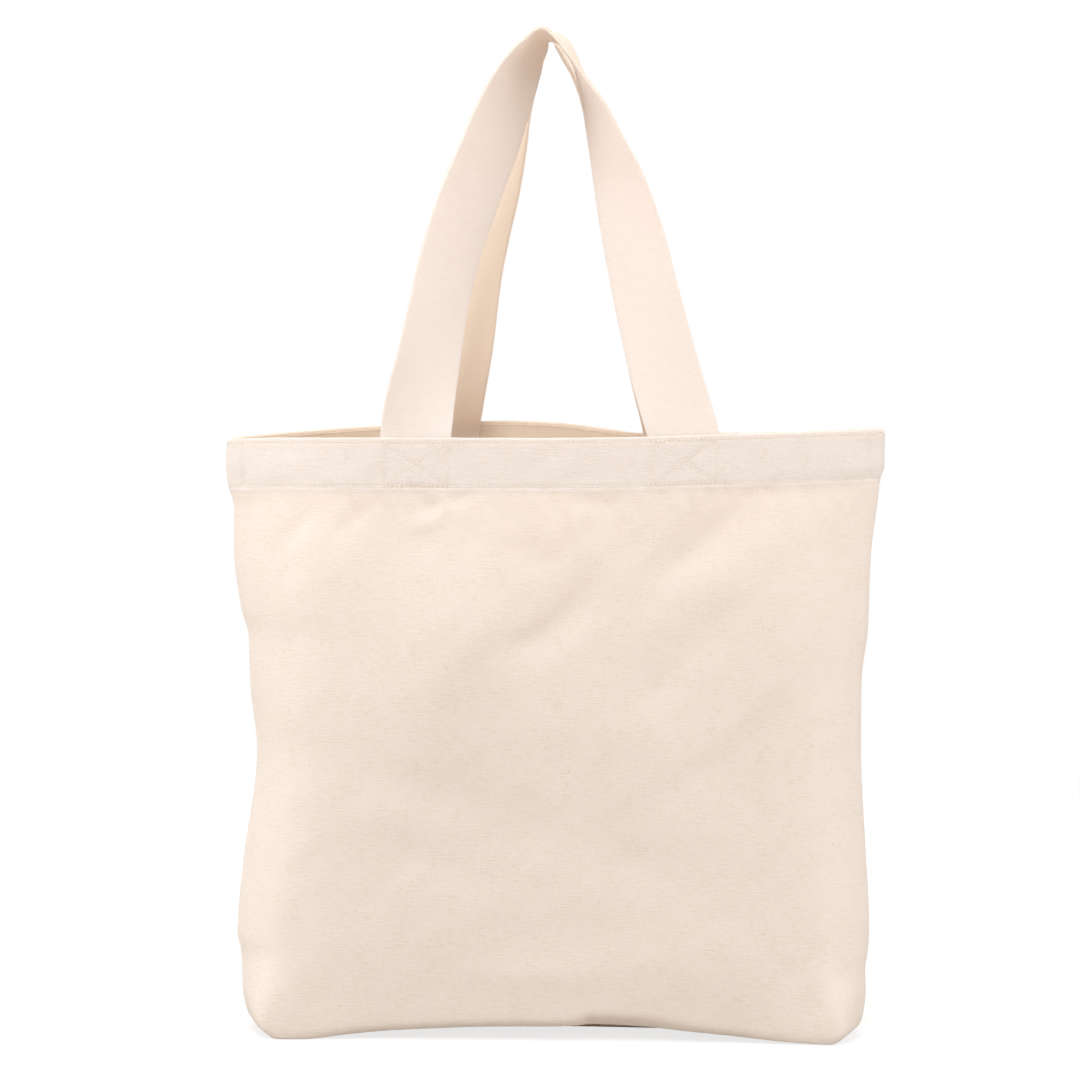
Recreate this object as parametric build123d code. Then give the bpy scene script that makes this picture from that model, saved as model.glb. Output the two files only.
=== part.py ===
from build123d import *
import os
from collections import namedtuple
from math import cos, exp, hypot, pi, radians, sin

# An open tote bag of plain canvas with two webbing handles, standing on its boxed base.
# Millimetres, +Z up, front towards -Y, origin in the middle of the base on the ground.

# Canvas body
CLOTH = 0.8  # one ply of canvas
BODY_HEIGHT = 351.0  # ground to the top of the rim
RIM_WIDTH = 384.0  # side seam to side seam at the rim
RIM_DEPTH = 88.0  # front to back at the rim, between the handles
RIM_CORNER = 50.0  # radius where the rim turns from the handles to the side seams
RIM_MARGIN = 17.0  # from a handle's outer edge to that turn
WAIST_HEIGHT = 175.0  # the narrowest place, where the sides draw in
WAIST_WIDTH = 354.0
WAIST_DEPTH = 78.0
WAIST_SLANT = 26.0  # how far each side slants in from its seam, along X
WAIST_CORNER = 34.0
WAIST_CROWN = 9.0  # how far the filled panel bulges in the middle
CHEST_HEIGHT = 250.0  # on the way from the waist up to the hem
CHEST_WIDTH = 368.0
CHEST_DEPTH = 82.0
CHEST_SLANT = 44.0
CHEST_CORNER = 42.0
CHEST_CROWN = 5.0
BELLY_HEIGHT = 60.0  # the widest place low down, above the boxed corners
BELLY_WIDTH = 370.0
BELLY_DEPTH = 76.0
BELLY_SLANT = 22.0
BELLY_CORNER = 24.0
BELLY_CROWN = 5.0
BASE_WIDTH = 360.0  # the boxed base, measured where its rounded lower edge begins
BASE_DEPTH = 72.0
BASE_SLANT = 6.0
BASE_CORNER = 14.0
BASE_CROWN = 1.5
EDGE_HEIGHT = 8.0  # the base's rounded lower edge
EDGE_INSET = 6.0

# Swells and hollows of the soft panels, each on a line that faces the given way (degrees from
# the right, seen from the front): how far it reaches before and after its middle along that
# line and beside it, and how far it stands out of the panel or, below zero, into it
Swell = namedtuple("Swell", "across height facing before after beside rise")
FRONT_SWELLS = (
    Swell(across=-56, height=234, facing=128, before=28, after=50, beside=52, rise=9),
    Swell(across=14, height=118, facing=90, before=62, after=52, beside=96, rise=-4),
    Swell(across=108, height=246, facing=125, before=24, after=26, beside=52, rise=3),
)
BACK_SWELLS = (
    Swell(across=50, height=240, facing=58, before=30, after=54, beside=50, rise=9),
    Swell(across=-92, height=232, facing=55, before=26, after=28, beside=52, rise=3),
    Swell(across=-10, height=120, facing=90, before=60, after=56, beside=92, rise=-4),
)
FLAT_LENGTH = 20.0  # the flat of a panel beside each rounded corner, which has no swell
CROWN_POWER = 3  # how late the crown fades towards the flats
SWELL_POWER = 8  # how late a swell fades towards the flats, the base and the hem
FACE_STATIONS = 14  # spans across each panel's line
BODY_SECTIONS = 13  # outlines from the base to the hem

# Hem and seams
HEM_PLIES = 3  # the panel's own top, turned in twice
HEM_HEIGHT = 30.0
ROLL_FLAT = 0.1  # what is left of the rim's flat top between its two rounded edges
SEAM_ALLOWANCE = 9.0
SEAM_PLIES = 2
SEAM_END_GAP = 1.0  # where one overlocked seam stops short of the next
PLY_GAP = 0.1  # between sewn plies

# Webbing handles
STRAP_WIDTH = 40.0
STRAP_THICKNESS = 2.0
FRONT_SPACING = 154.0  # between the middles of a handle's two ends
BACK_SPACING = 138.0
HANDLE_RISE = 235.0  # rim to the top of the loop
HANDLE_TOP_OFFSET = -6.0  # the loops meet a little left of the middle
HANDLE_GAP = 1.0  # between the two loops where they meet
TOP_BEND = 11.0  # radius of the bend at the top of the loop
TOP_LEAN = 21.0  # degrees that each leg leans where it enters the bend
LEG_STATIONS = 12  # cross-sections along each leg
BEND_STATIONS = 5  # cross-sections inside the bend
FOLD_CLEARANCE = 0.45  # between the strap and the rolled rim that it folds over
FOLD_GAP = 0.5  # between the sewn end and the free loop
END_INSET = 1.0  # from the hem's lower edge up to the end of the strap
END_CORNER = 1.5

# Sewing thread
THREAD_RAISE = 0.3  # how far a row of stitches stands off the cloth
THREAD_WIDTH = 0.8
THREAD_GAP = 0.05
LOWER_ROW = 1.8  # from the hem's lower edge up to its row of stitches
UPPER_ROW = 2.5  # from the rim down to its row of stitches
ROW_END = 1.0  # where a row stops short of the side seam
BOX_INSET = 2.0  # from the strap's edge in to the stitched box
BOX_ROW_GAP = 1.5  # from the hem's rows to the stitched box

# Values that follow from the sizes above
HEM_THICKNESS = HEM_PLIES * CLOTH
HEM_FOOT = BODY_HEIGHT - HEM_HEIGHT
SEAM_THICKNESS = SEAM_PLIES * CLOTH
HANDLE_EDGE = max(FRONT_SPACING, BACK_SPACING) / 2 + STRAP_WIDTH / 2
RIM_SLANT = RIM_WIDTH / 2 - HANDLE_EDGE - RIM_MARGIN
RIM_FACE = -RIM_DEPTH / 2  # outer face of the front hem
STRAP_MIDDLE = RIM_FACE + HEM_THICKNESS + FOLD_CLEARANCE + STRAP_THICKNESS / 2
LOOP_START = BODY_HEIGHT + FOLD_GAP
LOOP_TOP = BODY_HEIGHT + HANDLE_RISE - STRAP_THICKNESS / 2
LOOP_MEETING = -(STRAP_WIDTH + HANDLE_GAP) / 2
LOWER_ROW_HEIGHT = HEM_FOOT + LOWER_ROW
UPPER_ROW_HEIGHT = BODY_HEIGHT - UPPER_ROW

# One horizontal outline of the bag: a flat-sided lens whose two tips are the side seams
Level = namedtuple("Level", "height width depth slant corner crown")
BASE = Level(EDGE_HEIGHT, BASE_WIDTH, BASE_DEPTH, BASE_SLANT, BASE_CORNER, BASE_CROWN)
BELLY = Level(BELLY_HEIGHT, BELLY_WIDTH, BELLY_DEPTH, BELLY_SLANT, BELLY_CORNER, BELLY_CROWN)
WAIST = Level(WAIST_HEIGHT, WAIST_WIDTH, WAIST_DEPTH, WAIST_SLANT, WAIST_CORNER, WAIST_CROWN)
CHEST = Level(CHEST_HEIGHT, CHEST_WIDTH, CHEST_DEPTH, CHEST_SLANT, CHEST_CORNER, CHEST_CROWN)
HEM = Level(HEM_FOOT, RIM_WIDTH, RIM_DEPTH, RIM_SLANT, RIM_CORNER, 0)
BODY_LEVELS = (BASE, BELLY, WAIST, CHEST, HEM)


def tip_reach(level, inset):
    """Distance from the middle to the seam of an outline that is drawn in by the inset."""
    depth = level.depth / 2
    return level.width / 2 - inset * hypot(level.slant, depth) / depth


def level_at(height):
    """The level at any height of the body, on smooth curves through the named levels."""
    last = len(BODY_LEVELS) - 1
    place = max(1, min(last, sum(level.height < height for level in BODY_LEVELS)))
    before = BODY_LEVELS[max(place - 2, 0)]
    low = BODY_LEVELS[place - 1]
    high = BODY_LEVELS[place]
    after = BODY_LEVELS[min(place + 1, last)]
    span = high.height - low.height
    share = (height - low.height) / span
    values = [height]
    for first, second, third, fourth in zip(before[1:], low[1:], high[1:], after[1:]):
        leaving = (third - first) / (high.height - before.height) * span
        arriving = (fourth - second) / (after.height - low.height) * span
        eased = second + (third - second) * share**2 * (3 - 2 * share)
        values.append(eased + leaving * share * (1 - share) ** 2 - arriving * share**2 * (1 - share))
    return Level(*values)


def fade(share, power):
    """1 in the middle, falling smoothly to 0 where the share is 1 or -1."""
    return (1 - abs(share) ** power) ** 2


def swell_rise(swell, across, height):
    """How far one swell stands out of the panel at a place on it."""
    facing = radians(swell.facing)
    right = across - swell.across
    up = height - swell.height
    along = right * cos(facing) + up * sin(facing)
    beside = up * cos(facing) - right * sin(facing)
    reach = swell.after if along > 0 else swell.before
    return swell.rise * exp(-((along / reach) ** 2) - (beside / swell.beside) ** 2)


def panel_points(level, side, swells):
    """Places along the line across a panel, between its two flats: across and out."""
    reach = level.width / 2 - level.slant - FLAT_LENGTH
    climb = 2 * (level.height - EDGE_HEIGHT) / (HEM_FOOT - EDGE_HEIGHT) - 1
    points = []
    for step in range(FACE_STATIONS + 1):
        share = 2 * step / FACE_STATIONS - 1
        across = share * reach
        swelling = sum(swell_rise(swell, across, level.height) for swell in swells)
        lifted = swelling * fade(share, SWELL_POWER) * fade(climb, SWELL_POWER)
        points.append((across, side + level.crown * fade(share, CROWN_POWER) + lifted))
    return points


def outline(level, inset=0.0, height=None):
    """The closed outline at one level, drawn in evenly by the inset."""
    depth = level.depth / 2
    slant_length = hypot(level.slant, depth)
    tip = tip_reach(level, inset)
    shoulder = level.width / 2 - level.slant - inset * (slant_length - level.slant) / depth
    side = depth - inset
    edges = []
    for sign, swells in ((-1, FRONT_SWELLS), (1, BACK_SWELLS)):
        points = [(across, sign * out) for across, out in panel_points(level, side, swells)]
        edges += [
            Line((-tip, 0), (-shoulder, sign * side)),
            Line((-shoulder, sign * side), points[0]),
            Spline(*points, tangents=[(1, 0), (1, 0)]),
            Line(points[-1], (shoulder, sign * side)),
            Line((shoulder, sign * side), (tip, 0)),
        ]
    face = make_face(edges)
    flat_middle = shoulder - FLAT_LENGTH / 2
    corners = [corner for corner in face.vertices() if abs(corner.Y) > side / 2]
    shoulders = [corner for corner in corners if abs(corner.X) > flat_middle]
    rounded = fillet(shoulders, level.corner - inset)
    return Pos(0, 0, level.height if height is None else height) * rounded


def body_block(inset):
    """The body between its base and its hem as one full block, drawn in by the inset."""
    step = (HEM_FOOT - EDGE_HEIGHT) / (BODY_SECTIONS - 1)
    heights = [EDGE_HEIGHT + step * place for place in range(BODY_SECTIONS)]
    return loft([outline(level_at(height), inset) for height in heights])


def bag_block(inset, floor, hem_inset, top):
    """The bag as one full block, drawn in by the inset, from its floor to the given top."""
    edge = loft([outline(BASE, EDGE_INSET + inset, floor), outline(BASE, inset)], ruled=True)
    body = body_block(inset)
    hem = extrude(outline(HEM, hem_inset), amount=top - HEM_FOOT)
    return edge + body + hem


def body_layer(inset, thickness):
    """A layer of even thickness that lines the body between its base and its hem."""
    return body_block(inset) - body_block(inset + thickness)


def rolled_rim(panel):
    """Round the two edges along a panel's top, where its cloth turns over into the hem."""
    rim = [
        edge
        for edge in panel.edges()
        if min(corner.Z for corner in edge.vertices()) > BODY_HEIGHT - CLOTH
        and max(abs(corner.Y) for corner in edge.vertices()) > CLOTH
    ]
    return fillet(rim, (HEM_THICKNESS - ROLL_FLAT) / 2)


def canvas_panels():
    """The front and back panels, each with its half of the base and its turned-in hem."""
    outside = bag_block(0, 0, 0, BODY_HEIGHT)
    inside = bag_block(CLOTH, CLOTH, HEM_THICKNESS, BODY_HEIGHT + HEM_HEIGHT)
    shell = outside - inside
    front = split(shell, bisect_by=Plane.XZ, keep=Keep.TOP)
    back = split(shell, bisect_by=Plane.XZ, keep=Keep.BOTTOM)
    return {"front_panel": rolled_rim(front), "back_panel": rolled_rim(back)}


def side_seams():
    """Overlocked allowances of the side seams, pressed against the inside of the back panel."""
    lining = body_layer(CLOTH + PLY_GAP, SEAM_THICKNESS)
    length = HEM_FOOT - EDGE_HEIGHT - 2 * SEAM_END_GAP
    strip = Box(RIM_WIDTH, SEAM_ALLOWANCE, length, align=(Align.MIN, Align.MIN, Align.MIN))
    right = lining & (Pos(0, PLY_GAP, EDGE_HEIGHT + SEAM_END_GAP) * strip)
    left = lining & (Pos(-RIM_WIDTH, PLY_GAP, EDGE_HEIGHT + SEAM_END_GAP) * strip)
    return {"left_side_seam": left, "right_side_seam": right}


def base_seams():
    """The seam along the middle of the base and the two that box its corners, all laid flat."""
    low = CLOTH + PLY_GAP
    reach = tip_reach(BASE, EDGE_INSET + CLOTH) - SEAM_END_GAP
    corner_length = BASE_DEPTH - 2 * (EDGE_INSET + BASE_CORNER)
    lying_inwards = (Align.MAX, Align.CENTER, Align.MIN)
    corner_seam = Box(SEAM_ALLOWANCE, corner_length, SEAM_THICKNESS, align=lying_inwards)
    right = Pos(reach - BASE_SLANT, 0, low) * corner_seam
    long_reach = reach - BASE_SLANT - SEAM_ALLOWANCE - SEAM_END_GAP
    lying_backwards = (Align.CENTER, Align.MIN, Align.MIN)
    long_seam = Box(2 * long_reach, SEAM_ALLOWANCE, SEAM_THICKNESS, align=lying_backwards)
    return {
        "bottom_seam": Pos(0, PLY_GAP, low) * long_seam,
        "left_corner_seam": mirror(right, about=Plane.YZ),
        "right_corner_seam": right,
    }


def strap_section(point, along, across):
    plane = Plane(origin=point, x_dir=across, z_dir=along)
    return plane * Rectangle(STRAP_WIDTH, STRAP_THICKNESS)


def strap_station(flat_point, flat_along):
    """The cross-section at one point of a loop's front view, leaned inwards and twisted.

    The webbing stands square to the front where it is sewn and lies edge-on at the top.
    """
    rise = (flat_point.Z - LOOP_START) / (LOOP_TOP - LOOP_START)
    lean = LOOP_MEETING - STRAP_MIDDLE
    point = Vector(flat_point.X, STRAP_MIDDLE + lean * rise, flat_point.Z)
    along = Vector(flat_along.X, lean * flat_along.Z / (LOOP_TOP - LOOP_START), flat_along.Z)
    twist = pi / 2 * rise**2
    flat_across = Vector(flat_along.Z, 0, -flat_along.X)
    across = flat_across * cos(twist) + Vector(0, 1, 0) * sin(twist)
    along = along.normalized()
    across = (across - along * across.dot(along)).normalized()
    return strap_section(point, along, across)


def handle_loop(spacing):
    """One front loop: webbing that leaves the rim, leans in, twists and bends over at its top."""
    lean = radians(TOP_LEAN)
    middle = Vector(HANDLE_TOP_OFFSET, 0, LOOP_TOP - TOP_BEND)
    enter = middle + Vector(-cos(lean), 0, sin(lean)) * TOP_BEND
    leave = middle + Vector(cos(lean), 0, sin(lean)) * TOP_BEND
    left_foot = Vector(-spacing / 2, 0, LOOP_START)
    right_foot = Vector(spacing / 2, 0, LOOP_START)
    left_leg = TangentArc(enter, left_foot, tangent=(-sin(lean), 0, -cos(lean)))
    bend = ThreePointArc(enter, middle + Vector(0, 0, TOP_BEND), leave)
    right_leg = TangentArc(leave, right_foot, tangent=(sin(lean), 0, -cos(lean)))

    to_sewn = Vector(0, STRAP_MIDDLE, 0)
    sections = [strap_section(left_foot + to_sewn, (0, 0, 1), (1, 0, 0))]
    for step in range(1, LEG_STATIONS):
        place = 1 - step / LEG_STATIONS
        sections.append(strap_station(left_leg @ place, (left_leg % place) * -1))
    for step in range(BEND_STATIONS + 2):
        place = step / (BEND_STATIONS + 1)
        sections.append(strap_station(bend @ place, bend % place))
    for step in range(1, LEG_STATIONS):
        place = step / LEG_STATIONS
        sections.append(strap_station(right_leg @ place, right_leg % place))
    sections.append(strap_section(right_foot + to_sewn, (0, 0, -1), (-1, 0, 0)))
    return loft(sections, ruled=True)


def sewn_end(middle_x):
    """The flat end of a front handle, sewn against the inside of the hem up to the rim."""
    length = HEM_HEIGHT - END_INSET
    blank = Rectangle(STRAP_WIDTH, length)
    lower = blank.vertices().sort_by(Axis.Y)[:2]
    shape = extrude(Plane.XZ * fillet(lower, END_CORNER), amount=STRAP_THICKNESS / 2, both=True)
    return Pos(middle_x, STRAP_MIDDLE, BODY_HEIGHT - length / 2) * shape


def hem_row(height):
    """One raised row of stitches all the way round the outside of the hem."""
    outer = outline(HEM, -THREAD_GAP - THREAD_RAISE, height - THREAD_WIDTH / 2)
    inner = outline(HEM, -THREAD_GAP, height - THREAD_WIDTH / 2)
    return extrude(outer - inner, amount=THREAD_WIDTH)


def front_row(height):
    """The front half of a row, which stops just short of both side seams."""
    front = Box(RIM_WIDTH, RIM_DEPTH, BODY_HEIGHT, align=(Align.CENTER, Align.MAX, Align.MIN))
    return hem_row(height) & (Pos(0, -ROW_END, 0) * front)


def stitched_box(middle_x):
    """The box with a cross inside that fastens a front handle's end through the hem."""
    low = LOWER_ROW_HEIGHT + BOX_ROW_GAP
    high = UPPER_ROW_HEIGHT - BOX_ROW_GAP
    width = STRAP_WIDTH - 2 * BOX_INSET
    height = high - low
    inside = Rectangle(width - 2 * THREAD_WIDTH, height - 2 * THREAD_WIDTH)
    frame = Rectangle(width, height) - inside
    diagonals = Sketch()
    for sign in (-1, 1):
        corner = Vector((width - THREAD_WIDTH) / 2, sign * (height - THREAD_WIDTH) / 2)
        diagonals += trace(Line(corner * -1, corner), THREAD_WIDTH)
    figure = frame + diagonals & Rectangle(width, height)
    solid = extrude(Plane.XZ * figure, amount=THREAD_RAISE)
    return Pos(middle_x, RIM_FACE - THREAD_GAP, (low + high) / 2) * solid


def handle_pieces(side, spacing):
    """The loop, sewn ends and stitching of one handle, named for its side of the bag."""
    pieces = {
        f"{side}_handle_loop": handle_loop(spacing),
        f"{side}_handle_left_end": sewn_end(-spacing / 2),
        f"{side}_handle_right_end": sewn_end(spacing / 2),
        f"{side}_left_box_stitching": stitched_box(-spacing / 2),
        f"{side}_right_box_stitching": stitched_box(spacing / 2),
        f"{side}_hem_lower_stitching": front_row(LOWER_ROW_HEIGHT),
        f"{side}_hem_upper_stitching": front_row(UPPER_ROW_HEIGHT),
    }
    if side == "back":
        pieces = {name: mirror(shape, about=Plane.XZ) for name, shape in pieces.items()}
    return pieces


def main():
    pieces = canvas_panels()
    pieces.update(side_seams())
    pieces.update(base_seams())
    pieces.update(handle_pieces("front", FRONT_SPACING))
    pieces.update(handle_pieces("back", BACK_SPACING))
    os.makedirs("parts", exist_ok=True)
    for name, shape in pieces.items():
        export_step(shape, f"parts/{name}.step")
        print(name, round(shape.volume), "mm3")


main()
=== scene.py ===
# %% [markdown]
# # A canvas tote bag
# The real bag is two cuts of unbleached cotton canvas, sewn at the sides and across a boxed base,
# with a hem turned in twice and two straps of cotton webbing sewn inside it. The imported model
# gives the frame: where every piece is, and how the handles fold over the rim. This lesson makes
# what the eye sees: cloth with its folds, webbing with its ribs, thread with its stitches.

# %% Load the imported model
import math

import bpy
import numpy as np
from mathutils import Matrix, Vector, noise


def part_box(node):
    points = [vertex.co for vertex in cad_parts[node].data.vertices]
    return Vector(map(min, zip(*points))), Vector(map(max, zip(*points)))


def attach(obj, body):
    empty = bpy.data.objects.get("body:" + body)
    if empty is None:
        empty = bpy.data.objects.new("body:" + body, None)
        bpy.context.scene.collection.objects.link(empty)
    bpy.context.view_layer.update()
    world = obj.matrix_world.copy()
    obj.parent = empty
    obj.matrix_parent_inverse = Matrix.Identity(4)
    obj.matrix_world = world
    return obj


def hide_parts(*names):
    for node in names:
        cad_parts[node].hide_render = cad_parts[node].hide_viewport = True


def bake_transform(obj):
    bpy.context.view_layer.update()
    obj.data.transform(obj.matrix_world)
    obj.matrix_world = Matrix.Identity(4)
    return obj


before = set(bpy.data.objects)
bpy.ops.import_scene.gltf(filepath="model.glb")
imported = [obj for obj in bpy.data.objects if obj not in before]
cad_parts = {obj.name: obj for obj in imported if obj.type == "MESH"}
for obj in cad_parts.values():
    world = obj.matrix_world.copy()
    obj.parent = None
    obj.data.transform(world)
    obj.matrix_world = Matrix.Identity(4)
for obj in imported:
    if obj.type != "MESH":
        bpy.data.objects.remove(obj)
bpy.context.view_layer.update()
bpy.ops.object.select_all(action="DESELECT")
MM = 0.001

# %% [markdown]
# ## The camera
# The photograph was taken from a few steps away with a long lens, a little to the right of the
# bag and a little above its middle. A long lens from far off keeps the sides of the bag parallel,
# so the lens is worked out from the distance and from how much width the picture shows.

# %% Camera at the photograph's viewing angle
VIEW_TURN = math.radians(3.5)
VIEW_RAISE = math.radians(4.4)
VIEW_DISTANCE = 2.7
VIEW_WIDTH = 0.628
VIEW_AIM = Vector((-0.0093, -0.0007, 0.2884))

towards_camera = Vector((
    math.sin(VIEW_TURN) * math.cos(VIEW_RAISE),
    -math.cos(VIEW_TURN) * math.cos(VIEW_RAISE),
    math.sin(VIEW_RAISE),
))
bpy.ops.object.camera_add(
    location=VIEW_AIM + towards_camera * VIEW_DISTANCE,
    rotation=(math.pi / 2 - VIEW_RAISE, 0, VIEW_TURN),
)
camera = bpy.context.object
camera.data.lens = camera.data.sensor_width * VIEW_DISTANCE / VIEW_WIDTH
bpy.context.scene.camera = camera
bpy.context.scene.view_settings.view_transform = "Standard"
print("lens", round(camera.data.lens, 1), "mm")

# %% [markdown]
# ## Small helpers for materials
# Colours are easiest to pick as sRGB hex, as on a screen, but a shader works in linear light, so
# one function turns one into the other. A second adds a node, sets it up and links it, and a
# third starts an empty material.

# %% Colour and node helpers
def linear(hex_colour):
    """A colour written as sRGB hex, as the linear values that a shader works in."""
    parts = [int(hex_colour[place:place + 2], 16) / 255 for place in (1, 3, 5)]
    return [p / 12.92 if p <= 0.04045 else ((p + 0.055) / 1.055) ** 2.4 for p in parts] + [1.0]


def add_node(tree, kind, inputs=None, **settings):
    """Add one node, set its properties, and set or link its inputs."""
    made = tree.nodes.new(kind)
    for name, value in settings.items():
        setattr(made, name, value)
    for name, value in (inputs or {}).items():
        if isinstance(value, bpy.types.NodeSocket):
            tree.links.new(value, made.inputs[name])
        else:
            made.inputs[name].default_value = value
    return made


def new_material(name):
    """An empty node material and its node tree."""
    made = bpy.data.materials.new(name)
    made.use_nodes = True
    made.node_tree.nodes.clear()
    return made, made.node_tree


print("white is", linear("#ffffff"))

# %% [markdown]
# ## Floor, background and light
# The photograph is a studio picture on plain white. The floor is pale and keeps the bag's shadow.
# To the camera, the floor far away and the world are white, and the Light Path node keeps that
# white from lighting the bag. A large soft lamp hangs high in front of the bag, and weaker ones
# stand at both sides, over it and behind it, where the bright backdrop of the studio would be.
# The world fills in the rest with the light of a pale room.

# %% Floor that fades to white
FLOOR_SIZE = 40.0
FLOOR_FADE_START = 0.45
FLOOR_FADE_END = 1.3
FLOOR_SHADE = 0.26  # how much of the floor's brightness comes from the lamps, so can be shaded
FLOOR_GLOW = 0.765


def seen_directly(tree):
    """A socket that is 1 for camera, glossy and transmission rays."""
    path = add_node(tree, "ShaderNodeLightPath")
    glossy = add_node(tree, "ShaderNodeMath", {
        0: path.outputs["Is Camera Ray"], 1: path.outputs["Is Glossy Ray"]}, operation="MAXIMUM")
    return add_node(tree, "ShaderNodeMath", {
        0: glossy.outputs[0], 1: path.outputs["Is Transmission Ray"]}, operation="MAXIMUM").outputs[0]


def studio_floor():
    material, tree = new_material("matt_white_studio_floor")
    place = add_node(tree, "ShaderNodeTexCoord").outputs["Object"]
    distance = add_node(tree, "ShaderNodeVectorMath", {0: place}, operation="LENGTH")
    fade = add_node(tree, "ShaderNodeMapRange", {
        "Value": distance.outputs["Value"], "From Min": FLOOR_FADE_START, "From Max": FLOOR_FADE_END,
    }, interpolation_type="SMOOTHSTEP")
    shaded = add_node(tree, "ShaderNodeBsdfDiffuse", {"Color": [FLOOR_SHADE] * 3 + [1]})
    glow = add_node(tree, "ShaderNodeEmission", {"Color": (1, 1, 1, 1), "Strength": FLOOR_GLOW})
    near = add_node(tree, "ShaderNodeAddShader", {0: shaded.outputs[0], 1: glow.outputs[0]})
    white = add_node(tree, "ShaderNodeEmission", {"Color": (1, 1, 1, 1), "Strength": 1.0})
    shown = add_node(tree, "ShaderNodeMixShader", {
        0: fade.outputs[0], 1: near.outputs[0], 2: white.outputs[0]})
    bounce = add_node(tree, "ShaderNodeBsdfDiffuse", {"Color": linear("#d3ccc4")})
    both = add_node(tree, "ShaderNodeMixShader", {
        0: seen_directly(tree), 1: bounce.outputs[0], 2: shown.outputs[0]})
    add_node(tree, "ShaderNodeOutputMaterial", {"Surface": both.outputs[0]})
    return material


bpy.ops.mesh.primitive_plane_add(size=FLOOR_SIZE)
floor = bpy.context.object
floor.name = "studio_floor"
floor.data.materials.append(studio_floor())
print("floor", floor.dimensions[:])

# %% World and lamps
WORLD_FILL = 0.37
WORLD_COLOUR = "#fffaf4"
KEY_WATTS = 30.0
KEY_COLOUR = "#fffcf8"
LEFT_WATTS = 23.5
RIGHT_WATTS = 23.0
TOP_WATTS = 15.0
BACK_WATTS = 26.0
SIDE_COLOUR = "#ffffff"


def studio_world():
    world = bpy.data.worlds.new("white_studio")
    bpy.context.scene.world = world
    world.use_nodes = True
    tree = world.node_tree
    tree.nodes.clear()
    fill = add_node(tree, "ShaderNodeBackground", {
        "Color": linear(WORLD_COLOUR), "Strength": WORLD_FILL})
    white = add_node(tree, "ShaderNodeBackground", {"Color": (1, 1, 1, 1), "Strength": 1.0})
    both = add_node(tree, "ShaderNodeMixShader", {
        0: seen_directly(tree), 1: fill.outputs[0], 2: white.outputs[0]})
    add_node(tree, "ShaderNodeOutputWorld", {"Surface": both.outputs[0]})


def soft_lamp(name, place, aim, size, watts, colour):
    """A square lamp that points at a place."""
    bpy.ops.object.light_add(type="AREA", location=place)
    lamp = bpy.context.object
    lamp.name = name
    lamp.rotation_euler = (Vector(aim) - Vector(place)).to_track_quat("-Z", "Y").to_euler()
    lamp.data.size = size
    lamp.data.energy = watts
    lamp.data.color = linear(colour)[:3]


studio_world()
soft_lamp("key_softbox", (-0.2, -1.75, 2.1), (0, 0, 0.25), 0.8, KEY_WATTS, KEY_COLOUR)
soft_lamp("left_softbox", (-2.3, -0.6, 0.55), (0, 0, 0.3), 1.2, LEFT_WATTS, SIDE_COLOUR)
soft_lamp("right_softbox", (2.3, -0.6, 0.55), (0, 0, 0.3), 1.2, RIGHT_WATTS, SIDE_COLOUR)
soft_lamp("top_softbox", (-0.3, -0.55, 2.3), (0, 0, 0.3), 1.2, TOP_WATTS, SIDE_COLOUR)
soft_lamp("back_softbox", (0.2, 1.6, 1.9), (0, 0, 0.3), 1.2, BACK_WATTS, SIDE_COLOUR)

# %% [markdown]
# ## Canvas
# Unbleached cotton canvas is plain woven: each yarn goes over one and under the next. Cotton yarn
# is uneven, so thick places, the slubs, run along it, and bits of seed husk stay in it as tiny
# brown flecks. It has no gloss, only a faint fuzz, and it is thin enough that some warm light
# shines through. That, and a warm glow painted on the inner faces, is why the inside of the bag
# looks golden. The pattern follows the cloth, not the room, so it reads the attribute "cloth",
# each point's place on the flat cut in metres.

# %% Canvas material
DASH_LENGTH = 6 * MM  # how far a yarn shows: on real canvas 0.6 mm, which is too fine to show
DASH_WIDTH = 1.0 * MM  # a real yarn is 0.5 mm thick
SLUB_LENGTH = 15 * MM
SLUB_WIDTH = 1.1 * MM
FLECK_SPACING = 12 * MM
FLECK_SIZE = 0.85 * MM
CLOUD_SIZE = 55 * MM
LUMP_SIZE = 2.6 * MM
PATCH_SIZE = 13 * MM
YARN_RELIEF = 0.19 * MM
THROUGH_SHARE = 0.22  # how much of the light that falls on thin cotton shines through it
THROUGH_COLOUR = "#f6d8b4"


def thin_cotton(tree, colour, normal, roughness, gloss, fuzz):
    """End a material as matt cotton that some of the light shines through."""
    shader = add_node(tree, "ShaderNodeBsdfPrincipled", {
        "Base Color": colour, "Normal": normal, "Roughness": roughness,
        "Specular IOR Level": gloss, "Sheen Weight": fuzz, "Sheen Roughness": 0.4})
    through = add_node(tree, "ShaderNodeBsdfTranslucent", {"Color": linear(THROUGH_COLOUR)})
    both = add_node(tree, "ShaderNodeMixShader", {
        0: THROUGH_SHARE, 1: shader.outputs[0], 2: through.outputs[0]})
    add_node(tree, "ShaderNodeOutputMaterial", {"Surface": both.outputs[0]})


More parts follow.
